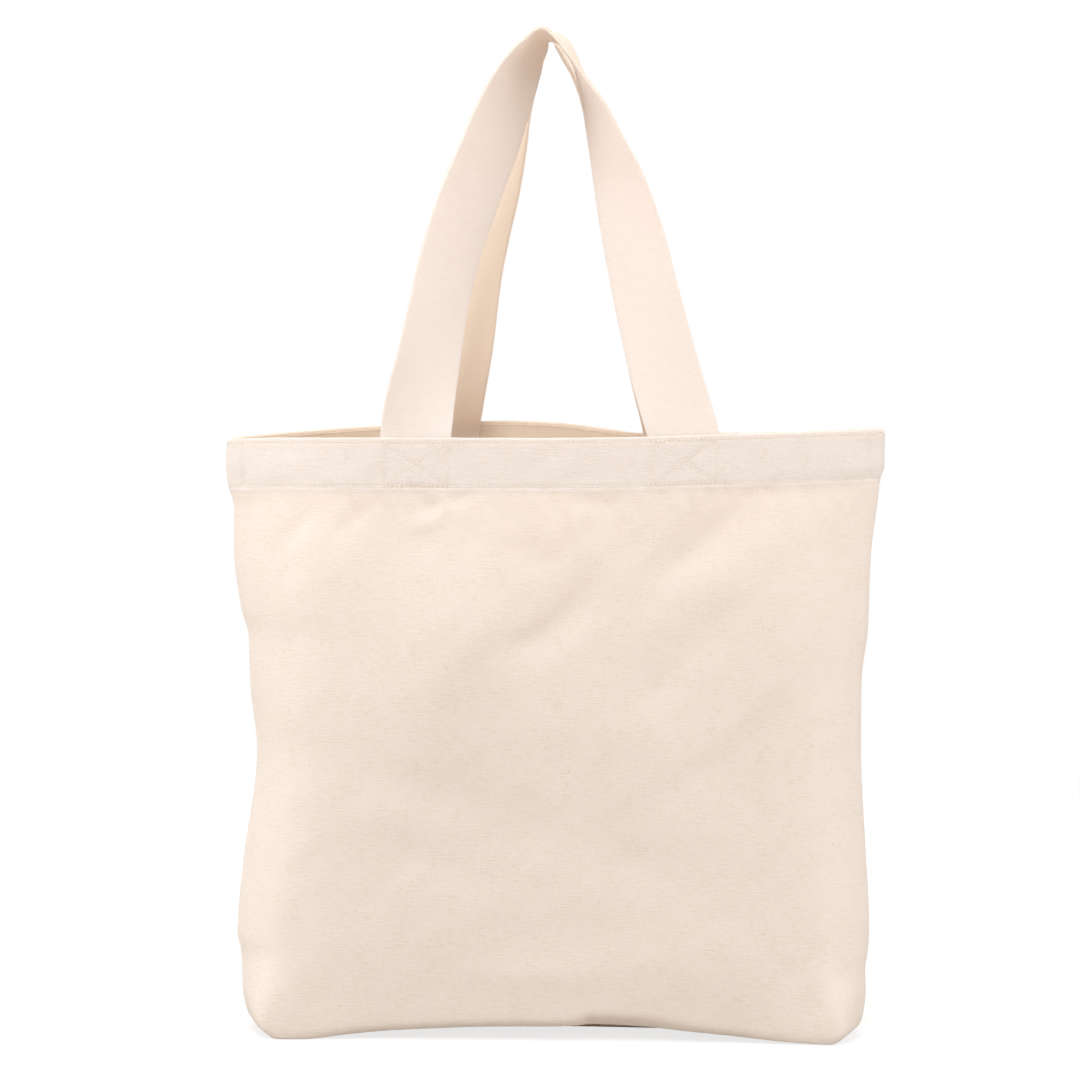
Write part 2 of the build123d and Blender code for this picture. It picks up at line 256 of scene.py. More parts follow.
def canvas_material():
    """Unbleached cotton canvas, plain woven and unfinished: warm white, matt, uneven yarns."""
    material, tree = new_material("unbleached_cotton_canvas")
    cloth = add_node(tree, "ShaderNodeAttribute", attribute_name="cloth").outputs["Vector"]

    # Noise drawn out along the yarns gives the weft, the warp and the slubs, and plain noise the rest
    yarns = {}
    for name, across, along in (
        ("weft", DASH_LENGTH, DASH_WIDTH), ("warp", DASH_WIDTH, DASH_LENGTH),
        ("slub", SLUB_LENGTH, SLUB_WIDTH), ("clouds", CLOUD_SIZE, CLOUD_SIZE),
        ("lumps", LUMP_SIZE, LUMP_SIZE), ("patches", PATCH_SIZE, PATCH_SIZE),
    ):
        drawn_out = add_node(tree, "ShaderNodeVectorMath", {
            0: cloth, 1: (1 / across, 1 / along, 1.0)}, operation="MULTIPLY")
        yarns[name] = add_node(tree, "ShaderNodeTexNoise", {
            "Vector": drawn_out.outputs[0], "Scale": 1.0, "Detail": 2.0}).outputs["Fac"]
    slub = add_node(tree, "ShaderNodeMapRange", {
        "Value": yarns["slub"], "From Min": 0.58, "From Max": 0.76,
    }, interpolation_type="SMOOTHSTEP").outputs[0]
    height = yarns["weft"]
    for part, share in ((yarns["warp"], 0.35), (slub, 0.35), (yarns["lumps"], 0.7)):
        height = add_node(tree, "ShaderNodeMath", {
            0: part, 1: share, 2: height}, operation="MULTIPLY_ADD").outputs[0]

    # Painted shade in the hollows where weft and warp both dip, more of it in some patches than in others
    dip = add_node(tree, "ShaderNodeMapRange", {
        "Value": yarns["weft"], "From Min": 0.6, "From Max": 0.36, "To Max": 0.22,
    }, interpolation_type="SMOOTHSTEP")
    also = add_node(tree, "ShaderNodeMapRange", {
        "Value": yarns["warp"], "From Min": 0.7, "From Max": 0.4,
    }, interpolation_type="SMOOTHSTEP")
    shown = add_node(tree, "ShaderNodeMapRange", {
        "Value": yarns["patches"], "From Min": 0.35, "From Max": 0.65, "To Min": 0.35, "To Max": 1.2})
    hollow_shade = dip.outputs[0]
    for part in (also, shown):
        hollow_shade = add_node(tree, "ShaderNodeMath", {
            0: hollow_shade, 1: part.outputs[0]}, operation="MULTIPLY").outputs[0]

    # Seed flecks: a dot in the middle of some of the cells
    cells = add_node(tree, "ShaderNodeTexVoronoi", {
        "Vector": cloth, "Scale": 1 / FLECK_SPACING, "Randomness": 1.0})
    near = add_node(tree, "ShaderNodeMapRange", {
        "Value": cells.outputs["Distance"], "From Min": FLECK_SIZE / FLECK_SPACING, "From Max": 0.0,
        "To Max": 0.7}, interpolation_type="SMOOTHSTEP")
    chosen = add_node(tree, "ShaderNodeSeparateColor", {0: cells.outputs["Color"]})
    kept = add_node(tree, "ShaderNodeMapRange", {
        "Value": chosen.outputs[0], "From Min": 0.45, "From Max": 0.95})
    fleck = add_node(tree, "ShaderNodeMath", {
        0: near.outputs[0], 1: kept.outputs[0]}, operation="MULTIPLY").outputs[0]

    # Soft clouds, then a whiter hem, the warm glow of light inside the bag painted on its inner faces,
    # painted shade in the hollows of the weave, paler slubs and brown flecks
    hem = add_node(tree, "ShaderNodeAttribute", attribute_name="hem").outputs["Fac"]
    inside = add_node(tree, "ShaderNodeAttribute", attribute_name="inside").outputs["Fac"]
    paler = add_node(tree, "ShaderNodeMath", {0: slub, 1: 0.5}, operation="MULTIPLY").outputs[0]
    colour = linear("#f1ece6")
    for share, tint in (
        (yarns["clouds"], "#f6f2ee"), (hem, "#f4f0ee"), (inside, "#f7eadb"),
        (hollow_shade, "#dac6b0"), (paler, "#f8ede0"), (fleck, "#b2916f"),
    ):
        colour = add_node(tree, "ShaderNodeMix", {
            0: share, 6: colour, 7: linear(tint)}, data_type="RGBA").outputs[2]
    bump = add_node(tree, "ShaderNodeBump", {
        "Strength": 1.0, "Distance": YARN_RELIEF, "Height": height})
    thin_cotton(tree, colour, bump.outputs[0], roughness=0.92, gloss=0.2, fuzz=0.4)
    return material


canvas = canvas_material()
print(canvas.name, len(canvas.node_tree.nodes), "nodes")

# %% [markdown]
# ## Webbing and thread
# The handles are flat cotton webbing: thick weft yarns make ribs straight across it, and the fine
# warp yarns over them show as broken lines. Its attribute "webbing" holds the place across
# and along the strap in metres. The thread is spun cotton. Each stitch dives into a needle hole at
# both ends, where it is in shade, so its attribute "stitch" holds the place along the stitch.

# %% Webbing and thread materials
WAVE_TURNS = 20.0  # a Wave texture of scale 1 makes this many radians per metre
RIB_SPACING = 2.0 * MM  # the real ribs are closer, and would flicker at this size
WARP_SPACING = 0.9 * MM  # the real warp is finer than this and wouldn't show
UNEVEN_LENGTH = 7 * MM
UNEVEN_WIDTH = 1.6 * MM
RIB_BUMP = 0.045 * MM
FIBRE_SIZE = 0.5 * MM
FIBRE_BUMP = 0.1 * MM
HOLE_START = 0.6 * MM  # from the middle of a stitch to where the shade of its needle holes starts
HOLE_END = 1.1 * MM


def webbing_material():
    """Heavy cotton webbing, woven with a rib: whiter than the canvas, matt, ribbed across."""
    material, tree = new_material("ribbed_cotton_webbing")
    place = add_node(tree, "ShaderNodeAttribute", attribute_name="webbing").outputs["Vector"]
    rib, warp = (
        add_node(tree, "ShaderNodeTexWave", {
            "Vector": place, "Scale": 2 * math.pi / spacing / WAVE_TURNS, "Distortion": unevenly,
            "Detail": 1.0, "Detail Scale": 0.4}, bands_direction=direction).outputs["Fac"]
        for spacing, unevenly, direction in ((RIB_SPACING, 0.8, "Y"), (WARP_SPACING, 1.2, "X")))
    scaled = add_node(tree, "ShaderNodeVectorMath", {
        0: place, 1: (1 / UNEVEN_LENGTH, 1 / UNEVEN_WIDTH, 1.0)}, operation="MULTIPLY")
    uneven = add_node(tree, "ShaderNodeTexNoise", {
        "Vector": scaled.outputs[0], "Scale": 1.0, "Detail": 2.0})
    height = add_node(tree, "ShaderNodeMath", {0: warp, 1: 0.35, 2: rib}, operation="MULTIPLY_ADD")
    # Painted shade in the grooves between ribs, broken up by the uneven yarns
    groove = add_node(tree, "ShaderNodeMapRange", {
        "Value": rib, "From Min": 0.35, "From Max": 0.0, "To Max": 0.13})
    painted_groove_shade = add_node(tree, "ShaderNodeMath", {
        0: groove.outputs[0], 1: uneven.outputs["Fac"]}, operation="MULTIPLY").outputs[0]
    inside = add_node(tree, "ShaderNodeAttribute", attribute_name="inside").outputs["Fac"]

    # Uneven yarns, painted warm shade on the inner face and painted shade in the broken grooves
    colour = linear("#f9f6f5")
    for share, tint in ((uneven.outputs["Fac"], "#f1edeb"), (inside, "#f3e7da"), (painted_groove_shade, "#cdb49d")):
        colour = add_node(tree, "ShaderNodeMix", {
            0: share, 6: colour, 7: linear(tint)}, data_type="RGBA").outputs[2]
    bump = add_node(tree, "ShaderNodeBump", {
        "Strength": 1.0, "Distance": RIB_BUMP, "Height": height.outputs[0]})
    thin_cotton(tree, colour, bump.outputs[0], roughness=0.9, gloss=0.22, fuzz=0.25)
    return material


def thread_material():
    """Spun cotton sewing thread: matt, twisted, a little darker than the cloth it sits in."""
    material, tree = new_material("spun_cotton_thread")
    place = add_node(tree, "ShaderNodeTexCoord").outputs["Object"]
    fibres = add_node(tree, "ShaderNodeTexNoise", {
        "Vector": place, "Scale": 1 / FIBRE_SIZE, "Detail": 2.0})
    tone = add_node(tree, "ShaderNodeMix", {
        0: fibres.outputs["Fac"], 6: linear("#ecdfd1"), 7: linear("#f6ebe0")}, data_type="RGBA")
    stitch = add_node(tree, "ShaderNodeAttribute", attribute_name="stitch").outputs["Vector"]
    along = add_node(tree, "ShaderNodeSeparateXYZ", {0: stitch})
    either_end = add_node(tree, "ShaderNodeMath", {0: along.outputs[0]}, operation="ABSOLUTE")
    # Painted shade at both ends of each stitch, where it dives into its needle hole
    needle_hole_shade = add_node(tree, "ShaderNodeMapRange", {
        "Value": either_end.outputs[0], "From Min": HOLE_START, "From Max": HOLE_END})
    colour = add_node(tree, "ShaderNodeMix", {
        0: needle_hole_shade.outputs[0], 6: tone.outputs[2], 7: linear("#c8b39e")}, data_type="RGBA")
    bump = add_node(tree, "ShaderNodeBump", {
        "Strength": 0.6, "Distance": FIBRE_BUMP, "Height": fibres.outputs["Fac"]})
    shader = add_node(tree, "ShaderNodeBsdfPrincipled", {
        "Base Color": colour.outputs[2], "Normal": bump.outputs[0], "Roughness": 0.85,
        "Specular IOR Level": 0.25, "Sheen Weight": 0.1})
    add_node(tree, "ShaderNodeOutputMaterial", {"Surface": shader.outputs[0]})
    return material


webbing = webbing_material()
thread = thread_material()
print(webbing.name, thread.name)

# %% [markdown]
# ## The shape of a panel
# A bag this soft has no straight lines, so its panels aren't primitives pushed about. Each panel
# is one flat cut of cloth, and a few curves say where it goes: how far each side seam stands out
# at each height, how deep the bag is there, and how sharply it turns at the sides. The curves of
# the sides, the rim and the lower edge run through places measured on the photograph, and the
# others, which it doesn't show, through a handful of likely ones. All are in millimetres.

# %% A smooth curve through a few points
def curve_through(pairs, overshoot=False):
    """A function that runs smoothly through (place, value) pairs."""
    places, values = np.array(pairs, float).T
    steps = np.diff(places)
    slopes = np.diff(values) / steps
    tangents = np.gradient(values, places)
    if not overshoot:
        product = slopes[:-1] * slopes[1:]
        total = slopes[:-1] + slopes[1:]
        turning = product <= 0
        tangents[1:-1] = np.where(turning, 0.0, 2 * product / np.where(turning, 1.0, total))

    def value(place):
        place = np.clip(place, places[0], places[-1])
        span = np.clip(np.searchsorted(places, place) - 1, 0, len(steps) - 1)
        step = steps[span]
        t = (place - places[span]) / step
        return (
            (2 * t**3 - 3 * t**2 + 1) * values[span] + (3 * t**2 - 2 * t**3) * values[span + 1]
            + ((t**3 - 2 * t**2 + t) * tangents[span] + (t**3 - t**2) * tangents[span + 1]) * step
        )

    return value


def smooth_step(low, high, value):
    """0 before low, 1 after high and a soft slope in between."""
    t = np.clip((value - low) / (high - low), 0, 1)
    return t * t * (3 - 2 * t)


print("half way:", float(curve_through([(0, 0), (1, 1), (2, 0)])(0.5)))

# %% Where the sides, the depth and the rim run
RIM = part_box("front_panel")[1].z / MM
HEM = 30.0  # from the rim down to the hem's lower fold
HEM_FOOT = RIM - HEM

# Half width of the bag at each height, on the left and on the right of the photograph
LEFT_SIDE = curve_through([
    (0, 171), (8, 180.5), (16, 183.4), (24, 184.7), (40, 185), (47, 185.6), (57, 187.7), (70, 187),
    (100, 183.9), (165, 175.5), (206, 179.4), (232, 180), (252, 184.8), (288, 188.7), (310, 188.4),
    (322, 191.3), (338, 193.2), (RIM, 192.4)])
RIGHT_SIDE = curve_through([
    (0, 171.5), (8, 178.8), (16, 180.4), (25, 181.3), (38, 181), (50, 182.6), (62, 183.4), (112, 180.8),
    (165, 178), (206, 178), (236, 181.6), (246, 182), (276, 183), (311, 187.2), (322, 188.5), (330, 190.6),
    (RIM, 191)])

# Half of its depth, how far its face bows out, how far in from the seam its flank meets the face,
# how round the flank is at the seam, and how softly the flank turns into the face
HALF_DEPTH = curve_through([(0, 36), (60, 38), (175, 39), (250, 41), (HEM_FOOT, 44), (RIM, 44)])
CROWN = curve_through([(0, 1.5), (60, 5), (175, 8), (250, 5), (HEM_FOOT, 0.6), (RIM, 0)])
SLANT = curve_through([(0, 9), (60, 25), (175, 31), (250, 46), (HEM_FOOT, 76), (RIM, 78)])
SIDE_ROUND = curve_through([(0, 15), (60, 16), (175, 15), (250, 11), (HEM_FOOT, 4), (RIM, 3)])
TURN = curve_through([(0, 4), (60, 12), (175, 13), (250, 11), (HEM_FOOT, 8), (RIM, 8)])

# How far the rim stands above or below its usual height, from the left seam to the right one
FRONT_RIM_LIFT = curve_through([
    (-192, -4), (-150, -2), (-95, -1), (0, -0.8), (50, 0), (100, 1.6), (191, 3)])
BACK_RIM_LIFT = curve_through([
    (-192, -4), (-150, -1), (-109, 1.4), (-60, 4), (-30, 4.6), (0, 3.4), (24, 0.5), (50, -2.5), (110, -2),
    (191, 3)])
# How far the lower edge is drawn up off the ground
FRONT_EDGE_LIFT = curve_through([
    (-175, 0), (-146, 0), (-118, 2.4), (-88, 5), (-30, 7.6), (4, 8),
    (18, 8.9), (32, 8.6), (56, 7.6), (85, 5.2), (133, 1.4), (172, 0)])
BACK_EDGE_LIFT = curve_through([(-172, 0), (-120, 1.5), (-20, 5), (90, 3), (172, 0)])
# How round the lower edge is: full in the middle, where it hangs, and sharp at the boxed corners
EDGE_SHARE = curve_through([(-1, 0.12), (-0.75, 0.3), (-0.5, 1), (0.45, 1), (0.7, 0.3), (1, 0.12)])
print("rim", RIM, "hem foot", HEM_FOOT, "half width at the waist", float(LEFT_SIDE(165.0)))

# %% One outline of the bag
OUTLINE_STEPS = 801
CROWDING = 2.5  # how closely the steps crowd together towards the side seams


def lengths_along(points):
    """How far along a line each of its points lies."""
    return np.concatenate([[0], np.cumsum(np.linalg.norm(np.diff(points, axis=0), axis=1))])


def outline(height, left, right, across, inset):
    """Half of the bag's outline at one height, seen from its own front.

    Gives x and y at places across, from -1 at the left seam to 1, and the outline's whole length.
    """
    share = np.linspace(-1, 1, OUTLINE_STEPS)
    half = np.where(share < 0, left, right)
    x = half * np.sign(share) * (1 - (1 - abs(share)) ** CROWDING)
    reach = half - abs(x)
    depth = HALF_DEPTH(height)
    face = depth + CROWN(height) * (1 - (x / half) ** 2)
    flank = np.sqrt((reach * depth / SLANT(height)) ** 2 + 2 * SIDE_ROUND(height) * reach)
    turn = TURN(height)
    y = np.minimum(0, turn * np.log(np.exp(-face / turn) + np.exp(-flank / turn)))
    length = lengths_along(np.column_stack([x, y]))
    middle = np.interp(0, x, length)
    from_middle = length - middle
    place = from_middle / np.where(from_middle < 0, middle, length[-1] - middle)
    out_x, out_y = np.gradient(y, length), -np.gradient(x, length)
    out_x[0], out_y[0], out_x[-1], out_y[-1] = -1, 0, 1, 0
    px, py, nx, ny = (np.interp(across, place, values) for values in (x, y, out_x, out_y))
    size = np.hypot(nx, ny)
    nx, ny = nx / size, ny / size
    return px - nx * inset, py - ny * inset, length[-1]


_, _, panel_width = outline(RIM, float(LEFT_SIDE(RIM)), float(RIGHT_SIDE(RIM)), np.zeros(1), 0.0)
print("panel width at the rim", round(panel_width, 1), "mm")

# %% [markdown]
# ## Rows of the cut
# The cloth starts at the bottom seam, runs out along the base, turns up at the lower edge, climbs
# the wall, rolls over the rim, comes down inside and turns under. Each row of the grid knows how
# high it is, how far it is set in from the outside and, on the base, how far out it lies.

# %% Rows from the bottom seam to the end of the hem
PLY = 0.75
PLY_GAP = 0.1
HEM_STACK = 2.5  # outer face to inner face of the three plies
EDGE_ROUND = 6.0  # radius of the lower edge
BASE_HEIGHT = 0.25
HIDDEN_PLY = 9.0  # how much of the turned-under ply is made
BASE_ROWS = 11
EDGE_ROWS = 7
WALL_ROWS = 104
HEM_ROWS = 32
ROLL_ROWS = 8
INSIDE_ROWS = 14
UNDER_ROWS = 6


def cut_rows():
    """Each row as (height, inset, share of the base), in order along the cut."""
    roll = HEM_STACK / 2
    under = (HEM_STACK - PLY - PLY_GAP) / 2
    rows = [(BASE_HEIGHT, EDGE_ROUND, share) for share in np.linspace(0, 1, BASE_ROWS)]
    for turn in np.linspace(0, math.pi / 2, EDGE_ROWS)[1:]:
        height = BASE_HEIGHT + EDGE_ROUND * (1 - math.cos(turn))
        rows.append((height, EDGE_ROUND * (1 - math.sin(turn)), 1.0))
    wall = np.linspace(EDGE_ROUND + 3, HEM_FOOT - 3, WALL_ROWS)
    hem = np.linspace(HEM_FOOT - 2, RIM - roll, HEM_ROWS)
    rows += [(height, 0.0, 1.0) for height in [*wall, *hem]]
    for turn in np.linspace(0, math.pi, ROLL_ROWS)[1:-1]:
        rows.append((RIM - roll + roll * math.sin(turn), roll * (1 - math.cos(turn)), 1.0))
    inside = np.linspace(RIM - roll, HEM_FOOT + under, INSIDE_ROWS)
    rows += [(height, HEM_STACK, 1.0) for height in inside]
    for turn in np.linspace(0, math.pi, UNDER_ROWS)[1:]:
        height = HEM_FOOT + under * (1 - math.sin(turn))
        rows.append((height, HEM_STACK - under * (1 - math.cos(turn)), 1.0))
    rows.append((HEM_FOOT + HIDDEN_PLY, HEM_STACK - 2 * under, 1.0))
    return np.array(rows)


ROWS = cut_rows()
RIM_ROW = int(np.argmax(ROWS[:, 0]))
print(len(ROWS), "rows")

# %% Columns, closer together where the cloth is sewn
WIDE_COLUMN = 2.5
FINE_COLUMN = 1.15
SEWN_ZONE = (46.0, 106.0)  # from the middle, on both sides
SEAM_ZONE = 18.0  # beside the side seams, where the columns are close too


def cut_columns():
    """Places across the cut from -1 to 1."""
    half = panel_width / 2
    places = [0.0]
    while places[-1] < half:
        fine = SEWN_ZONE[0] < places[-1] < SEWN_ZONE[1] or places[-1] > half - SEAM_ZONE
        places.append(places[-1] + (FINE_COLUMN if fine else WIDE_COLUMN))
    right = np.array(places) / places[-1]
    return np.concatenate([-right[:0:-1], right])


COLUMNS = cut_columns()
print(len(COLUMNS), "columns")

# %% [markdown]
# ## Folds
# Canvas doesn't hang flat. The photograph shows a soft swelling at the upper left that ends in a
# diagonal crease, long folds that run up to the right-hand handle, small pulls under the hem and
# a shallow hollow low down. The broad ones are swellings: a middle, the way the gentle slope faces
# in degrees, how far it reaches before and after its middle and to the sides, and a height. The
# rest are folds: a path, the widths on its two sides and a height. All are in millimetres, a
# negative height is a hollow, and the back panel has a few of its own, seen from behind.

# %% Ridges and valleys
FADE = 0.35  # share of a fold's length over which it starts, and over which it ends


def bell(distance, width):
    """1 on a line, fading softly to 0 on both sides of it."""
    return np.exp(-(distance / width) ** 2)


def fold(x, z, path, widths, height):
    """A ridge along a path, or a valley where the height is negative.

    The two widths say how far it reaches to the left and to the right, walking along the path.
    """
    nearest = np.full(x.shape, 1e9)
    across, along = np.zeros(x.shape), np.zeros(x.shape)
    gone = 0.0
    for (x0, z0), (x1, z1) in zip(path, path[1:]):
        length = math.hypot(x1 - x0, z1 - z0)
        t = ((x - x0) * (x1 - x0) + (z - z0) * (z1 - z0)) / length
        off = ((z - z0) * (x1 - x0) - (x - x0) * (z1 - z0)) / length
        distance = np.hypot(off, t - np.clip(t, 0, length))
        closer = distance < nearest
        nearest = np.where(closer, distance, nearest)
        across = np.where(closer, np.copysign(distance, off), across)
        along = np.where(closer, gone + np.clip(t, 0, length), along)
        gone += length
    width = np.where(across > 0, widths[0], widths[1])
    fade = smooth_step(0, gone * FADE, along) * smooth_step(gone, gone * (1 - FADE), along)
    return height * fade * bell(nearest, width)


def swelling(x, z, middle, facing, reach, beside, height):
    """A broad swelling that faces one way, or a hollow where the height is negative.

    It can reach further after its middle than before it, so that one slope is gentler.
    """
    right, up = x - middle[0], z - middle[1]
    turn = math.radians(facing)
    along = right * math.cos(turn) + up * math.sin(turn)
    across = up * math.cos(turn) - right * math.sin(turn)
    return height * bell(along, np.where(along > 0, reach[1], reach[0])) * bell(across, beside)


def unevenness(x, z, size, seed):
    """Slow random waves, the same in every run."""
    flat = [noise.noise(Vector((a / size, b / size, seed))) for a, b in zip(x.ravel(), z.ravel())]
    return np.array(flat).reshape(x.shape)


FRONT_SWELLINGS = [
    ((-54, 238), 138, (34, 48), 52, 8.8),
    ((14, 118), 90, (62, 52), 96, -4.0),
    ((108, 246), 125, (24, 26), 52, 3.0),
    ((-68, 174), 90, (48, 40), 50, 3.2),
]
BACK_SWELLINGS = [
    ((-50, 240), 122, (30, 54), 50, 9.0),
    ((92, 232), 125, (26, 28), 52, 3.0),
    ((10, 120), 90, (60, 56), 92, -4.0),
]
FRONT_FOLDS = [
    ([(23, 284), (16, 261), (5, 247), (-12, 235), (-44, 225)], (13, 6), -2.5),
    ([(36, 262), (22, 244), (0, 228), (-32, 215)], (12, 9), 0.25),
    ([(160, 316), (113, 279), (66, 246)], (15, 12), 2.1),
    ([(124, 322), (80, 285), (44, 262)], (10, 11), -1.9),
    ([(124, 262), (72, 222), (40, 178)], (14, 16), -2.0),
    ([(166, 262), (138, 228), (112, 194), (60, 154)], (13, 12), 0.9),
    ([(170, 212), (128, 188), (94, 162), (44, 138)], (13, 13), -0.9),
    ([(-158, 182), (-100, 158), (-28, 130)], (16, 20), -1.1),
    ([(-120, 150), (-80, 130), (-30, 104)], (12, 12), 0.6),
    ([(-120, 122), (-68, 104), (-20, 84)], (14, 14), -0.9),
    ([(0, 126), (48, 106), (96, 84)], (12, 14), -0.8),
    ([(-60, 62), (20, 60), (100, 66)], (22, 18), -1.0),
    ([(-60, 30), (-8, 33), (40, 30)], (9, 12), 0.7),
    ([(-168, 296), (-152, 280), (-150, 260)], (9, 9), -1.0),
    ([(-134, 314), (-160, 286)], (5, 6), -1.4),
    ([(-40, 322), (-58, 314), (-84, 308)], (4, 4), -1.5),
    ([(-52, 324), (-66, 304), (-88, 296)], (5, 5), 1.2),
    ([(-100, 318), (-128, 292)], (5, 5), -1.3),
    ([(80, 318), (130, 317), (186, 316)], (4, 4), -1.0),
    ([(6, 315), (44, 313)], (4, 4), -1.2),
    ([(-24, 296), (-11, 284), (-2, 270)], (8, 8), -1.3),
    ([(-112, 52), (-134, 22), (-142, 0)], (14, 10), -0.9),
    ([(118, 56), (150, 22), (164, 0)], (10, 14), -0.9),
]
BACK_FOLDS = [
    ([(20, 286), (9, 260), (-8, 241), (-58, 214)], (6, 6), -1.8),
    ([(-120, 306), (-86, 272), (-36, 238)], (14, 16), 1.6),
    ([(-100, 268), (-60, 228), (-14, 196)], (12, 13), -1.4),
    ([(56, 300), (96, 268), (136, 230)], (13, 12), 1.8),
    ([(62, 256), (100, 220), (142, 188)], (12, 12), -1.6),
    ([(-60, 156), (0, 136), (66, 120)], (18, 18), -1.4),
    ([(110, 130), (60, 100), (16, 82)], (15, 15), 1.2),
    ([(118, 52), (138, 22), (148, 0)], (12, 12), -1.0),
    ([(-118, 52), (-140, 22), (-152, 0)], (12, 12), -1.0),
    ([(36, 317), (90, 312)], (4, 4), -1.0),
    ([(-46, 317), (-98, 311)], (4, 4), -1.0),
]
print(len(FRONT_FOLDS), "folds in front,", len(BACK_FOLDS), "behind")

# %% [markdown]
# ## What sewing does to cloth
# A row of stitches pulls the cloth in along its line and leaves it a little puckered on both
# sides. The box with a cross that fastens each end of a handle does the same, so its four
# triangles stand up as small pillows. These are too large to leave to a bump pattern, so they are
# shape.

# %% Hem rows, boxes and their pillows
LOWER_ROW = HEM_FOOT + 1.8
UPPER_ROW = RIM - 2.5
BOX_WIDTH = 37.0
BOX_LOW = LOWER_ROW + 0.8
BOX_HIGH = UPPER_ROW - 0.8
FRONT_SEWN = (-78.4, 75.4)  # middles of the handle's two ends, seen from the front
BACK_SEWN = (-69.0, 68.0)  # seen from behind
SEAM_SHOWS = 181.0  # from the middle to the line where the side seam's edge shows in the hem
SEAM_GROOVE = 1.0
SEAM_GROOVE_WIDTH = 1.4
HEM_STEP = 0.3  # how far the hem stands out from the panel
HEM_LIP = 0.1  # how much further its lower fold does
HEM_LIP_WIDTH = 1.4
HEM_WAVES = 0.5
HEM_WAVE_SIZE = 14
LOWER_PULL = 0.4  # how deep each row of stitches pulls the cloth in, and on what width
LOWER_PULL_WIDTH = 1.1
UPPER_PULL = 0.25
UPPER_PULL_WIDTH = 1.0
BOX_PULL = 0.24
BOX_PULL_WIDTH = 1.3
PILLOW = 0.15
PUCKER = 1.1  # how unevenly the stitches pull
PUCKER_SIZE = 5.0


def box_lines(middle):
    """The box and cross of one handle end as lines from corner to corner."""
    left, right = middle - BOX_WIDTH / 2, middle + BOX_WIDTH / 2
    corners = [(left, BOX_LOW), (right, BOX_LOW), (right, BOX_HIGH), (left, BOX_HIGH)]
    sides = list(zip(corners, corners[1:] + corners[:1]))
    return sides + [(corners[0], corners[2]), (corners[1], corners[3])]


def distance_to(x, z, start, end):
    """How far each place is from the line between two points."""
    (x0, z0), (x1, z1) = start, end
    square = (x1 - x0) ** 2 + (z1 - z0) ** 2
    t = np.clip(((x - x0) * (x1 - x0) + (z - z0) * (z1 - z0)) / square, 0, 1)
    return np.hypot(x - x0 - t * (x1 - x0), z - z0 - t * (z1 - z0))


def sewn_relief(x, z, sewn, seed):
    """How far the sewing lifts or pulls the hem's outer face, in millimetres."""
    pucker = 1 + PUCKER * unevenness(x, z * 0.4, PUCKER_SIZE, seed)
    relief = HEM_STEP * smooth_step(HEM_FOOT - 1.8, HEM_FOOT + 1, z)
    relief += HEM_LIP * pucker * bell(z - HEM_FOOT - 0.2, HEM_LIP_WIDTH)
    relief -= LOWER_PULL * pucker * bell(z - LOWER_ROW, LOWER_PULL_WIDTH)
    relief -= UPPER_PULL * pucker * bell(z - UPPER_ROW, UPPER_PULL_WIDTH)
    waves = unevenness(x - z * 0.5, z, HEM_WAVE_SIZE, seed + 3)
    relief += HEM_WAVES * waves * smooth_step(HEM_FOOT, HEM_FOOT + 8, z)
    groove = bell(abs(x) - SEAM_SHOWS, SEAM_GROOVE_WIDTH)
    relief -= SEAM_GROOVE * groove * smooth_step(HEM_FOOT, HEM_FOOT + 3, z)
    for middle in sewn:
        nearest = np.min([distance_to(x, z, *line) for line in box_lines(middle)], axis=0)
        wide = smooth_step(BOX_WIDTH / 2 + 3, BOX_WIDTH / 2 - 1, abs(x - middle))
        tall = smooth_step(BOX_LOW - 3, BOX_LOW + 1, z) * smooth_step(BOX_HIGH + 2, BOX_HIGH - 1, z)
        relief += wide * tall * (PILLOW - BOX_PULL * pucker * bell(nearest, BOX_PULL_WIDTH))
    return relief


print("stitched box", BOX_WIDTH, "by", round(BOX_HIGH - BOX_LOW, 1), "mm")

# %% [markdown]
# ## Laying the cut on its shape
# Now the rows and columns become points. The panel is first laid on the outline of its height,
# then the rim and the lower edge are lifted, and last the folds and the sewing push it along the
# cloth's own normal. The back panel is made the same way, seen from behind, and turned round.

# %% Points of one panel
SEAM_PULL = 1.0  # how far the side seam draws the cloth in
SEAM_PULL_WIDTH = 1.6
CORNER_OUT = 4.0  # how far the boxed corners stand out at the foot of the wall
CORNER_ZONE = (105, 160)  # from the middle to where they start, and to where they are full
CORNER_FADE = (3, 30)  # the same, from the side seam inwards
CORNER_HEIGHT = 60
TUCK = 4.5  # how far the lower edge is tucked under, on the right of the front's middle
TUCK_START = (15, 22)  # where it grows from nothing to full, as in the next two lines
TUCK_END = (88, 40)
TUCK_HEIGHT = (8, 2)
HEM_CORNER = 2.4  # how far the rim drops at the side seams, where four corners are turned in
HEM_CORNER_SIZE = (2.6, 12)  # how wide and how high that drop reaches
RIM_LIFT_ZONE = (140, HEM_FOOT)  # heights where the lift of the rim grows from nothing to full
EDGE_LIFT_ZONE = (110, 6)
LOWEST = 0.2  # no point lies lower
WALL_FOOT = (4, 26)  # the folds grow from nothing to full between these heights
WALL_TOP = (HEM_FOOT + 6, HEM_FOOT - 10)
WALL_SIDES = (190, 150)  # and between these distances from the middle
WAVES = (1.0, 60)  # height and size of the slow waves in the wall
SMALL_WAVES = (0.3, 22)
CRUMPLE = (0.36, 15)  # short creases that run diagonally
GATHERS = (1.0, 9)  # short folds just under the hem
GATHERS_REACH = 16


def unit(vectors):
    """The same directions, each of length 1."""
    return vectors / np.maximum(np.linalg.norm(vectors, axis=-1, keepdims=True), 1e-9)


def cloth_normals(points):
    """The outward direction at each point of a grid of cloth."""
    across = np.gradient(points, axis=1)
    along = np.gradient(points, axis=0)
    return unit(np.cross(across, along))


